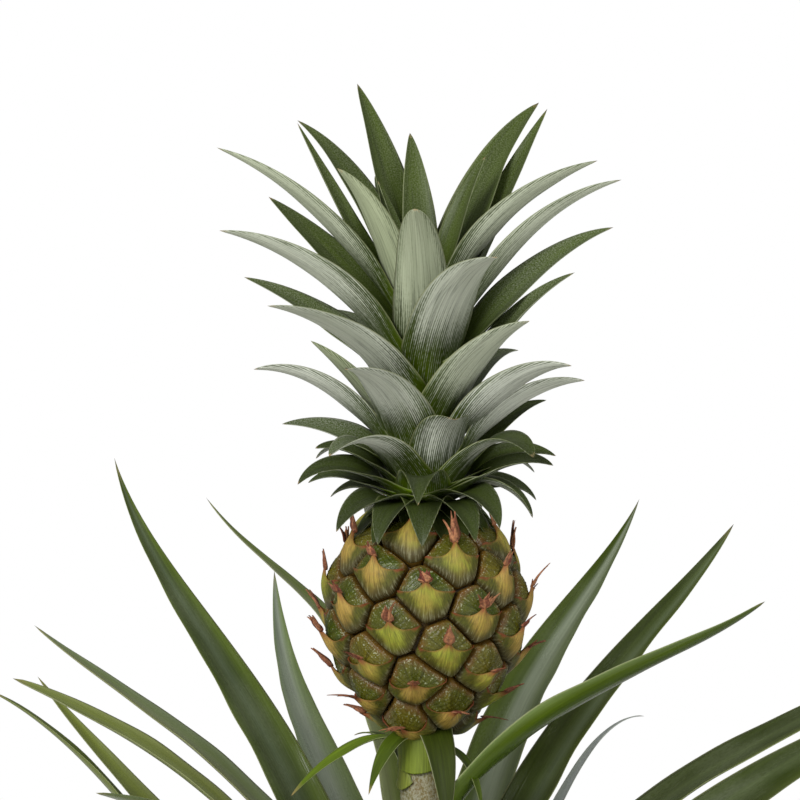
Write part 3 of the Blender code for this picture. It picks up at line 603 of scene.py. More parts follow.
def eye_places():
    """Height and azimuth of each eye: the golden angle from one to the next, and an equal area for each."""
    places = []
    for direction in (1, -1):
        z, azimuth = EYE_START
        while outline_z[0] + END_CLEAR < z < outline_z[-1] - END_CLEAR:
            places.append((z, azimuth))
            z += direction * EYE_AREA / (2 * math.pi * fruit_radius(z) * math.hypot(1.0, fruit_slope(z)))
            azimuth += direction * GOLDEN_ANGLE
    return np.array(sorted(set(places)))


def on_fruit(points, rise):
    """Points moved away from the fruit's middle until they stand at rise over its smooth outside."""
    middle = np.array([0.0, 0.0, FRUIT_MIDDLE])
    line = points - middle
    line = line / np.linalg.norm(line, axis=-1, keepdims=True)
    reach = np.interp(np.arcsin(line[..., 2]), turns, reaches)
    return middle + line * (reach + rise)[..., None]


eye_z, eye_azimuth = eye_places().T
EYES = len(eye_z)
bearing = np.radians(eye_azimuth)
radial = np.stack([np.sin(bearing), -np.cos(bearing), 0 * bearing], -1)
east = np.stack([np.cos(bearing), np.sin(bearing), 0 * bearing], -1)
north = radial * fruit_slope(eye_z)[:, None] + [0, 0, 1]
north /= np.linalg.norm(north, axis=-1, keepdims=True)
outward = np.cross(east, north)
eye_seat = radial * fruit_radius(eye_z)[:, None] + np.stack([0 * bearing, 0 * bearing, eye_z], -1)
eye_seat = on_fruit(eye_seat, np.zeros(EYES))

# The groove between two eyes lies half way, so along a spoke it is at |d|^2 / (2 d.u), where d leads to the
# neighbour and u is the spoke. The nearest neighbour decides, blended so that the corners are rounded.
apart = eye_seat[None] - eye_seat[:, None]
flat_u = np.einsum("ijk,ik->ij", apart, east)
flat_v = np.einsum("ijk,ik->ij", apart, north)
square = (apart**2).sum(-1)
shrink = np.sqrt(square) / np.maximum(np.hypot(flat_u, flat_v), 1e-6)


def groove_reach(spokes):
    """Distance from each eye's middle to its groove along each spoke, an angle from east towards north."""
    toward = (flat_u[..., None] * np.cos(spokes) + flat_v[..., None] * np.sin(spokes)) * shrink[..., None]
    near = ((square > 1) & (square < FURTHEST_NEIGHBOUR**2))[..., None]
    inverse = np.where(near, np.maximum(2 * toward / np.maximum(square, 1)[..., None], 0), 0)
    inverse = np.concatenate([inverse, np.full((EYES, 1, len(spokes)), 1 / EYE_REACH)], 1)
    return (inverse**CORNER_POWER).sum(1) ** (-1 / CORNER_POWER)


def eye_relief(share):
    """Height over the smooth outside at a share of the way to the groove.

    It is a low dome, -2.4 share^2, with a steep side that drops 2.2 more over the last 0.09.
    """
    return -2.4 * share**2 - 2.2 * ease((share - 0.91) / 0.09)


def from_eye(u, v, rise):
    """Point u to the east and v to the north of each eye's middle, at rise over the smooth outside."""
    form = (EYES,) + (1,) * (u.ndim - 1) + (3,)
    seat, right, up = (axis.reshape(form) for axis in (eye_seat, east, north))
    return on_fruit(seat + u[..., None] * right + v[..., None] * up, rise)


# An eye is a fan of rings, spaced closer towards its groove, and its last ring goes down into the flesh.
spokes = np.arange(EYE_SPOKES) * 2 * math.pi / EYE_SPOKES
edge = groove_reach(spokes)
share = np.concatenate([np.linspace(0, 1, EYE_RINGS + 1)[1:] ** 0.85, [1.0]])
u = share[None, :, None] * (edge * np.cos(spokes))[:, None]
v = share[None, :, None] * (edge * np.sin(spokes))[:, None]
draw = np.random.default_rng(7)
swell = draw.uniform(-0.5, 0.6, EYES)
swelled = swell[:, None, None]
pimples = 0.22 * np.sin(u * 2.1 + 3 * swelled) * np.sin(v * 2.4 + 1.0) + 0.15 * np.sin(u * 4.3 + v * 3.7)
rise = eye_relief(share)[None, :, None] + (pimples + swelled) * (1 - share**4)[None, :, None]
rise[:, -1] -= EYE_DEPTH
ring = from_eye(u, v, rise).reshape(EYES, -1, 3)
middle = np.zeros((EYES, 1))
top, foot = from_eye(middle, middle, swell[:, None]), from_eye(middle, middle, middle - EYE_BOTTOM)
points = np.concatenate([ring, top, foot], 1)
size = points.shape[1]
quads, caps = skin_faces(EYE_RINGS + 1, EYE_SPOKES)
faces = repeated(quads, EYES, size) + repeated(caps, EYES, size)
groove = np.concatenate([np.repeat(share, EYE_SPOKES), [0, 1]])
rays_at = np.tile(np.stack([np.cos(spokes), np.sin(spokes)], -1), (EYE_RINGS + 1, 1))
rays_at = np.vstack([rays_at, np.zeros((2, 2))])

# Green skin with a wet gloss, drawn with fine rays from the middle of the eye and freckled with white scurf
# under half a millimetre across on its outer slopes; the pale freckles are painted glints of the wet skin as
# well. The grooves are brown with a rusty rim, and each eye has its own share of yellow.
eye_skin, add, shader = material("glossy_fruit_rind", IOR=1.45, Specular_IOR_Level=0.4)
where = add("TexCoord", output="Object")
depth = add("Attribute", output="Fac", attribute_name="groove")
tone = add("Attribute", output="Fac", attribute_name="tone")
spoke = add("UVMap", uv_map="spoke")
lift = add("Math", {0: tone, 1: 9.0}, operation="MULTIPLY")
lift = add("Math", {0: depth, 1: 0.15, 2: lift}, operation="MULTIPLY_ADD")
lift = add("CombineXYZ", {2: lift})
cone = add("VectorMath", {0: spoke, 1: lift}, operation="ADD")
rays = add("TexNoise", {"Vector": cone, "Scale": 6.5, "Detail": 3.0, "Roughness": 0.65})
mottle = add("TexNoise", {"Vector": where, "Scale": 170.0, "Detail": 4.0})
ripe = add("Math", {0: mottle, 1: tone}, operation="ADD")
colour = coat(add, "#38460c", "#5a5416", ripe, 0.4, 1.4)
colour = shaded(add, colour, rays, 0.3, 0.7, 0.6, 1.5)
rusty = add("Math", {0: mottle, 1: 0.5, 2: depth}, operation="MULTIPLY_ADD")
colour = coat(add, colour, "#6b4220", rusty, 0.95, 1.25, 0.75)
colour = coat(add, colour, "#584216", depth, 0.9, 0.985, soft=True)
scales = add("TexNoise", {"Vector": where, "Scale": 1300.0, "Detail": 2.0})
sill = add("MapRange", {0: depth, 1: 0.25, 2: 0.85, 3: 0.86, 4: 0.77})
# The pale freckles are white scurf and painted highlights, the glints of the wet skin, together.
scurf_and_glints = add("Math", {0: rays, 1: 0.35, 2: scales}, operation="MULTIPLY_ADD")
scurf_and_glints = add("Math", {0: scurf_and_glints, 1: sill}, operation="SUBTRACT")
scurf_and_glints = add("MapRange", {0: scurf_and_glints, 1: 0.0, 2: 0.09, 3: 0.0, 4: 0.7})
bare = add("MapRange", {0: depth, 1: 0.9, 2: 0.985, 3: 1.0, 4: 0.0}, interpolation_type="SMOOTHSTEP")
scurf_and_glints = add("Math", {0: scurf_and_glints, 1: bare}, operation="MULTIPLY")
colour = add("Mix", {0: scurf_and_glints, 6: colour, 7: "#b3b898"}, data_type="RGBA")
gloss = add("MapRange", {0: scales, 1: 0.3, 2: 0.7, 3: 0.16, 4: 0.46})
relief = add("Bump", {"Strength": 0.5, "Distance": 0.0005, "Height": scales})
wire(shader, Base_Color=colour, Roughness=gloss, Normal=relief)
piece("fruit_eyes", points.reshape(-1, 3), faces, eye_skin, "fruit",
      maps={"spoke": np.tile(rays_at, (EYES, 1))},
      values={"groove": np.tile(groove, EYES), "tone": np.repeat(draw.uniform(0, 1, EYES), size)})

# Under the eyes lies the flesh, a plain barrel that closes the fruit where the grooves and the ends are.
angle = np.linspace(math.pi / 2, -math.pi / 2, 60)
reach = np.interp(angle, turns, reaches - FLESH_DEPTH)
barrel = np.stack([reach * np.cos(angle), FRUIT_MIDDLE + reach * np.sin(angle)], -1)
barrel[[0, -1], 0] = 0.0
points, faces = revolved(barrel, FLESH_STEPS)
piece("fruit_flesh", points, faces, eye_skin, maps={"spoke": np.zeros((len(points), 2))},
      values={"groove": np.full(len(points), 0.97), "tone": np.zeros(len(points))})

# A bract rises from the groove below its eye: t runs up it and a across it, from corner to corner. It hugs
# the eye, keeled along its middle, and its upper edge stands a little free and runs out in a point.
a = np.linspace(-1, 1, BRACT_ACROSS + 1)
t = np.linspace(0, 1, BRACT_UP + 1)
q = np.abs(a) ** 1.35
low = np.radians(-90 + 93 * a)
foot_reach = groove_reach(low) * 0.985
corner = np.where(a < 0, foot_reach[:, :1], foot_reach[:, -1:])
high = eye_z > TOP_BRACTS
peak = np.where(high, draw.uniform(5.0, 7.5, EYES), draw.uniform(2.5, 6.0, EYES))[:, None]
sag = draw.uniform(1.0, 2.4, (EYES, 1))
top_u = np.sign(a) * q * corner * 0.98
top_v = -sag + (sag + peak) * np.exp(-q / 0.2) + (sag + 1.0) * q**2.5
foot_u, foot_v = foot_reach * np.cos(low), foot_reach * np.sin(low)
u = foot_u[..., None] * (1 - t) + top_u[..., None] * t
v = foot_v[..., None] * (1 - t) + top_v[..., None] * t
share = np.clip(np.hypot(u, v) / foot_reach[..., None], 0, 1)
hug = eye_relief(share * 0.97) + swelled * (1 - share**4)
point_up = np.where(high, 2.0, draw.uniform(1.0, 5.5, EYES))[:, None, None]
q = q[:, None]
keel = 1.7 * np.exp(-((q / 0.26) ** 2)) * ease(t / 0.7) * (1 - 0.25 * t**4)
wings = 0.6 * np.exp(-(((q - 0.6) / 0.3) ** 2)) * t**2 + 1.1 * q**4 * t**3
spike = np.exp(-q / 0.06) * t**4
pleats = 0.1 * np.sin(a * 46 + 2.0 * np.sin(a * 9))[:, None] * np.sin(t * math.pi)
v = v + point_up * 0.3 * spike**2
front = hug + 0.15 + keel + wings + point_up * spike + pleats
thick = 0.35 + 0.8 * (1 - t) + 1.2 * (keel > 0.3) * (1 - t**6)
points = np.stack([from_eye(u, v, front), from_eye(u, v, front - thick)], 1)

# The front and the back are grids of the same size, and a strip round the rim joins them.
grid = np.arange((BRACT_ACROSS + 1) * (BRACT_UP + 1)).reshape(BRACT_ACROSS + 1, BRACT_UP + 1)
sheet = np.stack([grid[:-1, :-1], grid[1:, :-1], grid[1:, 1:], grid[:-1, 1:]], -1).reshape(-1, 4)
rim = np.concatenate([grid[:, 0], grid[-1, 1:], grid[-2::-1, -1], grid[0, -2:0:-1]])
after = np.roll(rim, -1)
strip = np.stack([after, rim, rim + grid.size, after + grid.size], -1)
faces = repeated(np.vstack([sheet, sheet[:, ::-1] + grid.size, strip]), EYES, 2 * grid.size)
a_at, aside_at = (np.tile(np.repeat(values, BRACT_UP + 1), 2 * EYES) for values in (a, q[:, 0]))
t_at = np.tile(t, 2 * EYES * (BRACT_ACROSS + 1))
apart_by = 3.7 * np.repeat(np.arange(EYES), 2 * grid.size)

# Leathery and fibrous: a yellow-green body with pale fibres fanning down from the point, olive sides, red
# brown wing tips and a tan upper edge where it has dried, and a frayed white fringe on a foot darkened
# with painted shade towards the groove it sinks into.
bract_leather, add, shader = material("dried_bract_leather", IOR=1.45, Specular_IOR_Level=0.35)
fibres = streaks(add, add("UVMap", uv_map="fan"), 0.09, 20.0, 5.0, 0.75)
mottle = add("TexNoise", {"Vector": add("TexCoord", output="Object"), "Scale": 220.0, "Detail": 4.0})
tone, up, aside = (add("Attribute", output="Fac", attribute_name=name) for name in ("tone", "up", "aside"))
dried = add("Math", {0: mottle, 1: tone}, operation="ADD")
colour = coat(add, "#8c9030", "#a88b42", dried, 0.7, 1.3)
sides = add("Mix", {0: mottle, 6: "#3a480a", 7: "#665e1e"}, data_type="RGBA")
outer = add("Math", {0: mottle, 1: 0.5, 2: aside}, operation="MULTIPLY_ADD")
below = add("Math", {0: up, 1: -0.5, 2: outer}, operation="MULTIPLY_ADD")
colour = coat(add, colour, sides, below, 0.02, 0.42, soft=True)
colour = shaded(add, colour, fibres, 0.32, 0.68, 0.42, 1.5)
uneven = add("Math", {0: fibres, 1: 0.3, 2: up}, operation="MULTIPLY_ADD")
colour = coat(add, colour, "#94702f", uneven, 0.95, 1.2, 0.45, soft=True)
upper = add("MapRange", {0: uneven, 1: 0.6, 2: 1.05}, interpolation_type="SMOOTHSTEP")
colour = coat(add, colour, "#824726", outer, 0.85, 1.15, upper, soft=True)
edge = add("MapRange", {0: uneven, 1: 0.88, 2: 1.1}, interpolation_type="SMOOTHSTEP")
colour = coat(add, colour, "#8e5430", aside, 0.16, 0.04, edge)
colour = coat(add, colour, "#7a3c24", uneven, 1.08, 1.2, 0.75)
# Painted shade: the lower part of the bract darkens towards the groove that its foot sinks into.
colour = coat(add, colour, "#453c1c", up, 0.45, 0.0, soft=True)
threads = add("MapRange", {0: fibres, 1: 0.5, 2: 0.64, 3: 0.0, 4: 0.55})
colour = coat(add, colour, "#aeae8c", up, 0.45, 0.0, threads, soft=True)
gloss = add("MapRange", {0: fibres, 1: 0.3, 2: 0.7, 3: 0.35, 4: 0.6})
relief = add("Bump", {"Strength": 0.7, "Distance": 0.0006, "Height": fibres})
wire(shader, Base_Color=colour, Roughness=gloss, Normal=relief)
piece("fruit_bracts", points.reshape(-1, 3), faces, bract_leather,
      maps={"fan": np.stack([a_at + apart_by, t_at], -1)},
      values={"up": t_at, "aside": aside_at, "tone": np.repeat(draw.uniform(0, 1, EYES), 2 * grid.size)})

# The dried flower is three to five shrivelled petals that stand in a tuft above the bract's point and curl
# as they rise. Each is a flattened tube, and s runs from its foot to its tip.
s = np.linspace(0, 1, PETAL_RINGS)[:, None]
around = np.arange(PETAL_STEPS) * 2 * math.pi / PETAL_STEPS
petals, tones = [], []
for n in np.flatnonzero(eye_z <= FLOWERS_TOP):
    away = draw.uniform(0.3, 0.85)
    vigour, seated = draw.uniform(0.4, 1.0), swell[n] + 1.0 + 0.45 * point_up[n, 0, 0]
    for _ in range(draw.integers(3, 6)):
        length, width = draw.uniform(9.0, 14.0) * vigour, draw.uniform(4.4, 6.8)
        lean, curl, twist = draw.normal(0, 0.22), draw.uniform(-0.4, 0.4), draw.uniform(-1.6, 1.6)
        turned = twist * s + draw.uniform(-0.7, 0.7)
        broad = np.cos(around) * width / 2 * (0.4 + 0.6 * np.sin(math.pi * s**0.6)) * (1 - s**1.7)
        thin = np.sin(around) * (0.8 - 0.5 * s)
        u = broad * np.cos(turned) - thin * np.sin(turned) + length * (lean * s + curl * s**2)
        v = broad * np.sin(turned) * 0.4 + 0.7 * peak[n] + length * s * (1 - away**2) ** 0.5
        out = broad * np.sin(turned) * 0.8 + thin + seated + length * away * (0.6 * s + 0.5 * s**2)
        moved = np.stack([u, v, out], -1) @ np.stack([east[n], north[n], outward[n]])
        petals.append(eye_seat[n] + moved)
        tones.append(draw.uniform(0, 1))
rim = np.arange(PETAL_STEPS)
ends = np.stack([rim, -rim % PETAL_STEPS + (PETAL_RINGS - 1) * PETAL_STEPS])
size = PETAL_RINGS * PETAL_STEPS
tube = skin_faces(PETAL_RINGS, PETAL_STEPS)[0]
faces = repeated(tube, len(petals), size) + repeated(ends, len(petals), size)

# A withered petal is papery and creased, from red-brown to tan.
withered_petal, add, shader = material("withered_petal", Roughness=0.7)
creases = add("TexNoise", {"Vector": add("TexCoord", output="Object"), "Scale": 900.0, "Detail": 3.0})
tone = add("Attribute", output="Fac", attribute_name="tone")
colour = add("Mix", {0: tone, 6: "#662a1a", 7: "#ae7650"}, data_type="RGBA")
colour = shaded(add, colour, creases, 0.3, 0.7, 0.5, 1.4)
relief = add("Bump", {"Strength": 0.6, "Distance": 0.0003, "Height": creases})
wire(shader, Base_Color=colour, Normal=relief)
piece("fruit_dried_flowers", np.reshape(petals, (-1, 3)), faces, withered_petal,
      values={"tone": np.repeat(tones, size)})


# ---------------------------------------------------------------------------------------------------------
# Crown. The tuft of young leaves on the fruit: a slim core and stiff channelled blades on it, drooping over
# the fruit's shoulder low down and upright above. Their outer faces carry a thick silver-grey bloom.

CORE_OUTLINE = [(0.0, 485.0), (6.5, 478.0), (8.0, 450.0), (10.5, 420.0), (12.5, 396.0), (12.0, 389.0),
                (8.7, 388.6), (8.7, 377.3), (0.0, 377.3)]
CORE_TAPER, CORE_STEPS = np.linspace(485.0, 389.5, 60), 48
LINE_SPACING = 0.00085  # metres between the pale lines
GREEN_BELOW, LESS_DUST_ABOVE = 398, 452  # heights on the core

# azimuth, height on the core, length, width, elevation at the base and towards the tip, how late it bends,
# turn, roll, taper, point; lowest leaf first
CROWN_LEAVES = [
    (-2, 390, 37, 25, 12, -80, 1.1, 0, 0, 1.5, 0.95), (28, 390, 40, 25, 10, -70, 1.3, 0, 0, 1.5, 0.95),
    (-29, 390, 38, 25, 10, -76, 1.2, 0, 0, 1.5, 0.95), (-52, 391, 41, 27, 14, -58, 1.2, 0, -12, 1.5, 0.95),
    (45, 391, 40, 27, 28, -74, 1.2, 0, 12, 1.5, 0.95), (-115, 391, 36, 15, 30, -40, 1.5, 0, -25, 2.2, 0.8),
    (150, 391, 42, 17, 20, -58, 1.2, 0, 0, 2, 0.8), (-150, 391, 44, 18, 24, -55, 1.3, 0, 0, 2, 0.8),
    (105, 391, 42, 18, 30, -52, 1.7, 0, 28, 2.2, 0.8), (66, 391, 54, 22, 36, -21, 2.0, -12, 28, 1.7, 0.85),
    (-98, 392, 42, 20, 32, -32, 1.8, 0, -28, 1.7, 0.85), (74, 392, 44, 19, 56, -66, 0.8, 0, 0, 2.4, 0.75),
    (-72, 392, 51, 23, 39, -50, 1.8, 0, -28, 1.7, 0.85), (180, 393, 50, 20, 34, -48, 1.4, 0, 0, 2, 0.8),
    (-4, 393, 42, 26, 52, -68, 1.1, 0, 0, 1.4, 0.95), (90, 394, 50, 24, 44, -22, 1.7, 0, 30, 1.7, 0.85),
    (50, 395, 60, 23, 48, -50, 2.0, -12, 14, 2.4, 0.75), (130, 395, 56, 20, 40, -40, 1.5, 0, 20, 2, 0.8),
    (-79, 396, 42, 17, 45, -14, 2.0, 5, -26, 2.3, 0.75), (23, 396, 42, 28, 79, -5, 1.9, -8, 0, 3.2, 0.6),
    (-132, 397, 58, 20, 44, -36, 1.5, 0, -15, 2, 0.8), (110, 397, 60, 19, 52, 10, 2.1, 12, 25, 1.9, 0.85),
    (-42, 398, 56, 26, 58, -34, 1.1, 0, 0, 2.4, 0.8), (-100, 402, 57, 21, 45, -4, 1.2, 0, -30, 1.9, 0.85),
    (97, 403, 72, 24, 52, 1, 1.8, 0, -32, 1.9, 0.85), (160, 404, 68, 24, 54, -22, 1.4, 0, 0, 2, 0.8),
    (-96, 406, 78, 23, 52, -6, 2.0, 0, 30, 1.9, 0.85), (-27, 409, 73, 31, 61, 3, 1.0, -4, 0, 2.4, 0.8),
    (-165, 410, 74, 25, 56, -14, 1.4, 0, 0, 2, 0.8), (-100, 411, 62, 25, 60, 39, 1.2, 0, 30, 1.9, 0.85),
    (67, 412, 71, 23, 50, -4, 1.9, -10, -30, 1.9, 0.85), (138, 418, 66, 24, 58, 2, 1.5, 0, 10, 2, 0.8),
    (44, 420, 72, 31, 67, 18, 0.9, 0, 0, 2.4, 0.8), (83, 422, 86, 24, 61, 27, 2.1, 0, 30, 1.9, 0.85),
    (-142, 425, 78, 25, 60, 8, 1.5, 0, 0, 2, 0.8), (-49, 427, 93, 29, 69, 7, 0.6, 0, 4, 2.2, 0.8),
    (178, 432, 92, 26, 66, 14, 1.4, 0, 0, 2, 0.8), (-109, 434, 91, 23, 49, 20, 1.1, 0, -28, 1.9, 0.85),
    (19, 435, 94, 31, 86, 8, 0.7, 10, 0, 2.5, 0.75), (-5, 435, 92, 28, 82, 28, 1.5, 0, 0, 3.0, 0.7),
    (-80, 442, 105, 25, 61, 10, 1.2, 0, 28, 1.9, 0.85), (97, 442, 99, 26, 52, 18, 2.2, 0, 32, 1.9, 0.85),
    (148, 442, 98, 24, 66, 24, 1.5, 0, 0, 2, 0.8), (-55, 451, 89, 28, 75, 40, 2.2, 0, 0, 2.8, 0.75),
    (89, 451, 110, 22, 60, 15, 1.9, 0, -28, 1.9, 0.85), (-160, 452, 98, 23, 68, 34, 1.5, 0, 0, 2, 0.8),
    (-111, 455, 92, 27, 48, 40, 1.7, 0, -26, 1.9, 0.85), (117, 460, 111, 22, 63, 60, 1.2, 0, 14, 2.0, 0.85),
    (-87, 460, 116, 20, 59, 22, 1.5, 0, 28, 1.9, 0.85), (130, 464, 115, 27, 70, 38, 1.9, 0, 16, 2.2, 0.8),
    (-104, 464, 100, 17, 53, 64, 0.5, 7, -20, 1.9, 0.85), (170, 462, 46, 18, 78, 60, 1.5, 0, 0, 2, 0.8),
    (81, 465, 100, 22, 75, 19, 0.9, 0, -30, 1.9, 0.85), (-127, 470, 106, 23, 63, 32, 2.1, 0, -14, 1.9, 0.85),
    (102, 472, 68, 20, 78, 60, 2.0, 0, 26, 1.9, 0.85), (-112, 472, 57, 12, 80, 62, 1.5, -10, 0, 2, 0.8),
    (-142, 476, 102, 27, 68, 62, 1.8, 0, 6, 2.2, 0.85), (-168, 476, 76, 18, 78, 62, 1.2, 0, 0, 2.3, 0.8),
]

# Azimuths of the short drooping leaves that ring the foot of the crown and hide where it joins the fruit.
FOOT_LEAVES = (-14, 15, -41, 37, 60, -66, 84, -90, 112, -118, 140, -145, 170)
FOOT_RADIUS, FOOT_HEIGHT, FOOT_SHAPE = 11.0, 390, (21, -6, -62, 0.8, 0, 0, 0, 1.5, 0.95)


def core_radius(z):
    """Radius of the crown's core at a height, straight between the outline's corners."""
    r, heights = np.array(CORE_OUTLINE[::-1]).T
    return float(np.interp(z, heights, r))


# What gives the eye: the under face is pale silver-green, drawn with fine parallel lines just under 1 mm
# apart where the bloom follows the fibres. Towards the foot the bloom breaks up and vivid dark green shows
# between the white lines. The upper face is dark green and barely dusted. The margins are pale, and the
# tips dry to tan.
crown_cuticle, add, shader = material("silvery_crown_leaf_cuticle", IOR=1.45, Specular_IOR_Level=0.3)
flat, across, along, fold, tint = blade_reading(add)
read = ("upper", "bloom", "young")
upper, bloom, young = (add("Attribute", output="Fac", attribute_name=name) for name in read)
fibres = streaks(add, flat, 0.02, 1250.0, 3.0, 0.65)
bands = streaks(add, flat, 0.12, 190.0, 2.0)
flecks = streaks(add, flat, 0.35, 1500.0, 2.0)
dots = add("TexNoise", {"Vector": flat, "Scale": 1500.0, "Detail": 4.0, "Roughness": 0.75})

# The leaf's number, read off its place in the map, gives each leaf its own faint ribs.
sideways = add("SeparateXYZ", {0: flat}, "X")
number = add("Math", {0: sideways, 1: APART[0]}, operation="DIVIDE")
number = add("Math", {0: number}, operation="ROUND")
drawn_out = add("Math", {0: along, 1: 0.07}, operation="MULTIPLY")
ribs = add("CombineXYZ", {0: across, 1: drawn_out, 2: number})
ribs = add("TexNoise", {"Vector": ribs, "Scale": 12.0, "Detail": 3.0})
ribs = add("Math", {0: ribs, 1: 0.5}, operation="SUBTRACT")
ribs = add("Math", {0: ribs}, operation="ABSOLUTE")

# The lines are a sine of the way across, which wanders with the bands and breaks up with flecks and fibres.
wander = add("Math", {0: bands, 1: 5.0}, operation="MULTIPLY")
wave = add("Math", {0: sideways, 1: 2 * math.pi / LINE_SPACING, 2: wander}, operation="MULTIPLY_ADD")
wave = add("Math", {0: wave}, operation="SINE")
wave = add("Math", {0: wave, 1: 0.55}, operation="MULTIPLY")
wave = add("Math", {0: flecks, 1: 1.6, 2: wave}, operation="MULTIPLY_ADD")
wave = add("Math", {0: fibres, 1: 3.0, 2: wave}, operation="MULTIPLY_ADD")
sill = add("MapRange", {0: bloom, 1: 0.0, 2: 1.0, 3: 3.3, 4: 0.75})
line = add("Math", {0: wave, 1: sill}, operation="SUBTRACT")
veil = add("MapRange", {0: bloom, 1: 0.2, 2: 0.9, 3: 0.0, 4: 0.5})
dust = add("MapRange", {0: line, 1: -0.45, 2: 0.65, 3: veil, 4: 1.0})
specks = add("MapRange", {0: dots, 1: 0.42, 2: 0.72, 3: 0.0, 4: 0.5})
specks = add("Math", {0: specks, 1: bloom}, operation="MULTIPLY")
dust = add("Mix", {0: upper, 2: dust, 3: specks})
thin = add("MapRange", {0: bands, 1: 0.3, 2: 0.7, 3: 1.0, 4: 0.75})
dust = add("Math", {0: dust, 1: thin}, operation="MULTIPLY")

pale = add("Mix", {0: young, 6: "#ccd0c2", 7: "#acb592"}, data_type="RGBA")
pale = shaded(add, pale, wave, 1.2, 3.4, 0.9, 1.06)
pale = shaded(add, pale, fibres, 0.3, 0.7, 0.88, 1.1)
colour = shaded(add, tint, bands, 0.3, 0.7, 0.75, 1.3)
colour = add("Mix", {0: dust, 6: colour, 7: pale}, data_type="RGBA")
colour = shaded(add, colour, ribs, 0.004, 0.03, 0.7, 1.0)
colour = coat(add, colour, "#a3a870", fold, 0.47, 0.496, 0.5)
ragged = add("Math", {0: flecks, 1: 0.12, 2: along}, operation="MULTIPLY_ADD")
colour = coat(add, colour, "#a08760", ragged, 1.03, 1.07)
gloss = add("MapRange", {0: dust, 1: 0.0, 2: 1.0, 3: 0.36, 4: 0.72})
relief = add("Bump", {"Strength": 0.45, "Distance": 0.0004, "Height": fibres})
wire(shader, Base_Color=colour, Roughness=gloss, Normal=relief)

outline = [CORE_OUTLINE[0]] + [(core_radius(z), z) for z in CORE_TAPER[1:]] + CORE_OUTLINE[5:]
points, faces = revolved(outline, CORE_STEPS)
none = np.zeros(len(points))
piece("crown_core", points, faces, crown_cuticle, "crown",
      maps={"blade": points[:, ::2] * MM, "span": np.full((len(points), 2), 0.5)},
      values={"upper": none, "bloom": none + 0.2, "young": none, "tint": none[:, None] + linear("#5a6a2c")})

# The bloom comes with age: it starts later on one leaf than on another, and is thin on the lowest leaves.
draw = np.random.default_rng(5)
tuft = []
for n, row in enumerate(CROWN_LEAVES):
    azimuth, z, length, width, rise, tip_rise, late, turn, roll, taper, point = row
    place = (azimuth, max(core_radius(z) - 1.5, 1.0), z)
    shape = (length, width, rise, tip_rise, late, turn, 0, roll, taper, point)
    made = blade(place, shape, 40, 16, cup=0.7, flare=0.1, thick=0.9, clasp=1.0, seed=n, waver=0.35)
    own, low, late_bloom = made[3], z < GREEN_BELOW, draw.uniform(0, 1)
    tint = two_tone(own, "#34420a", "#2e3a06" if low else "#3b4a0a", "#5a7206" if low else "#4c6006")
    grown = 0.1 + 0.9 * ease((own["s"] - 0.06 - 0.12 * late_bloom) / 0.5)
    bare = 1 - 0.6 * ease((np.abs(own["t"]) - 0.45) / 0.55)
    dusted = 0.25 if low else 1.2 if z < LESS_DUST_ABOVE else 0.8
    # The bloom is thinner on leaves turned away from the front, which is painted shade on the crown's sides.
    silver = 0.5 if low else (0.92 if abs(azimuth) < 60 else 0.76) + 0.08 * draw.uniform(-1, 1)
    cover = grown * np.where(own["upper"] > 0.4, dusted, bare * silver)
    tuft.append((*made, tint, {"bloom": cover, "young": np.clip(tip_rise / 35, 0, 1)}))
for n, azimuth in enumerate(FOOT_LEAVES):
    place, shape = (azimuth, FOOT_RADIUS, FOOT_HEIGHT - n % 2), (23 + 3 * (n % 3), *FOOT_SHAPE)
    made = blade(place, shape, 24, 12, cup=0.6, flare=0.1, thick=0.9, clasp=1.0, seed=n)
    tuft.append((*made, two_tone(made[3], "#34420a", "#2e3a06", "#4c6006"), {"bloom": 0.1, "young": 0.0}))
joined("crown_leaves", tuft, crown_cuticle)


# ---------------------------------------------------------------------------------------------------------
# Studio. A pale floor disc that fades out at its edge, a white room, a large soft lamp at the upper left,
# a weaker one at the right, and the camera level with the fruit. Here lengths are in metres.

FLOOR_RADIUS, FLOOR_CORNERS = 2.5, 96
LAMPS = (("key_lamp", 46.0, 1.0, (-1.2, -2.0, 1.5)), ("fill_lamp", 11.0, 1.4, (1.6, -1.4, 0.9)))
LAMPS_AIM = Vector((0.0, 0.0, 0.40))

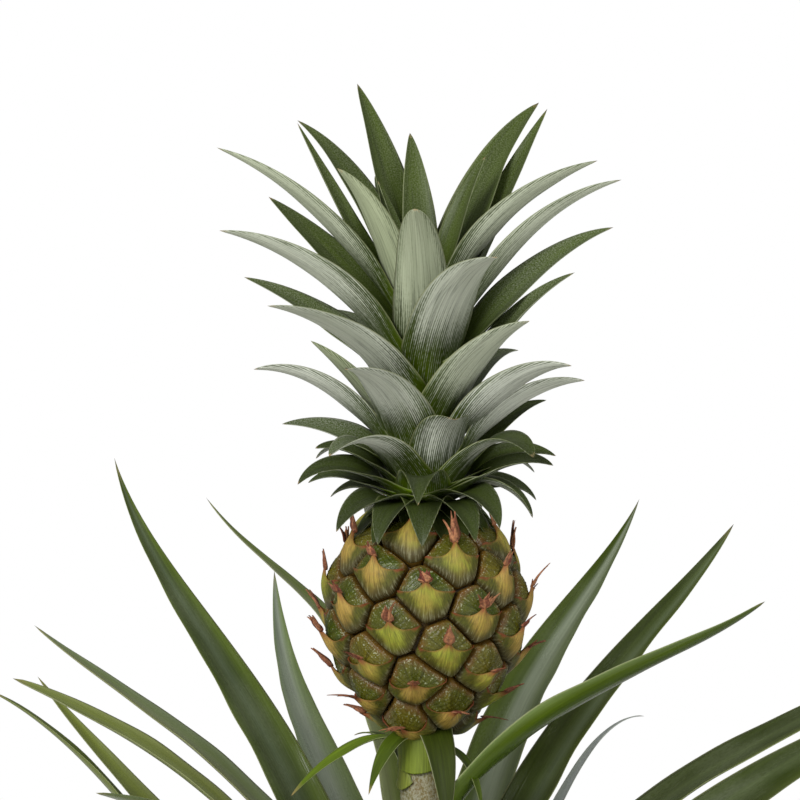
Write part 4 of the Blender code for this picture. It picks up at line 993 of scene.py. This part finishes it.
floor_paint, add, shader = material("matt_floor_paint", Roughness=0.85)
where = add("TexCoord", output="Object")
blotches = add("TexNoise", {"Vector": where, "Scale": 3.0, "Detail": 2.0})
colour = add("Mix", {0: blotches, 6: "#e6e5e2", 7: "#f2f1ee"}, data_type="RGBA")
away = add("VectorMath", {0: where}, "Value", operation="LENGTH")
fade = {0: away, 1: 0.9, 2: FLOOR_RADIUS - 0.05, 3: 1.0, 4: 0.0}
fade = add("MapRange", fade, interpolation_type="SMOOTHSTEP")
wire(shader, Base_Color=colour, Alpha=fade)
angle = np.arange(FLOOR_CORNERS) * 2 * math.pi / FLOOR_CORNERS
ring = FLOOR_RADIUS * np.stack([np.cos(angle), np.sin(angle), 0 * angle], -1)
mesh = bpy.data.meshes.new("studio_floor")
mesh.from_pydata(ring, [], [list(range(FLOOR_CORNERS))])
mesh.materials.append(floor_paint)
studio_floor = bpy.data.objects.new("studio_floor", mesh)
bpy.context.scene.collection.objects.link(studio_floor)

# The camera sees the room as pure white, but the plant is lit by it at half strength and mirrors it darker.
room = bpy.data.worlds.new("white_room")
room.use_nodes = True
background = room.node_tree.nodes["Background"]
background.inputs["Color"].default_value = linear("#ffffff")
add = functools.partial(add_node, room.node_tree)
strength = add("MapRange", {0: add("LightPath", output="Is Glossy Ray"), 3: 0.5, 4: 0.2})
strength = add("Math", {0: strength, 1: add("LightPath", output="Is Camera Ray")}, operation="MAXIMUM")
wire(background, Strength=strength)
bpy.context.scene.world = room
bpy.context.scene.view_settings.view_transform = "Standard"

for name, power, size, place in LAMPS:
    lamp = bpy.data.lights.new(name, "AREA")
    lamp.energy, lamp.size = power, size
    hung = bpy.data.objects.new(name, lamp)
    hung.location = place
    hung.rotation_euler = (LAMPS_AIM - hung.location).to_track_quat("-Z", "Y").to_euler()
    bpy.context.scene.collection.objects.link(hung)

lens = bpy.data.cameras.new("studio_camera")
lens.lens, lens.sensor_width, lens.clip_end = 214.0, 36.0, 20.0
camera = bpy.data.objects.new("studio_camera", lens)
camera.location = (-0.0105, -2.0, 0.4335)
camera.rotation_euler = (math.radians(90), 0.0, 0.0)
bpy.context.scene.collection.objects.link(camera)
bpy.context.scene.camera = camera
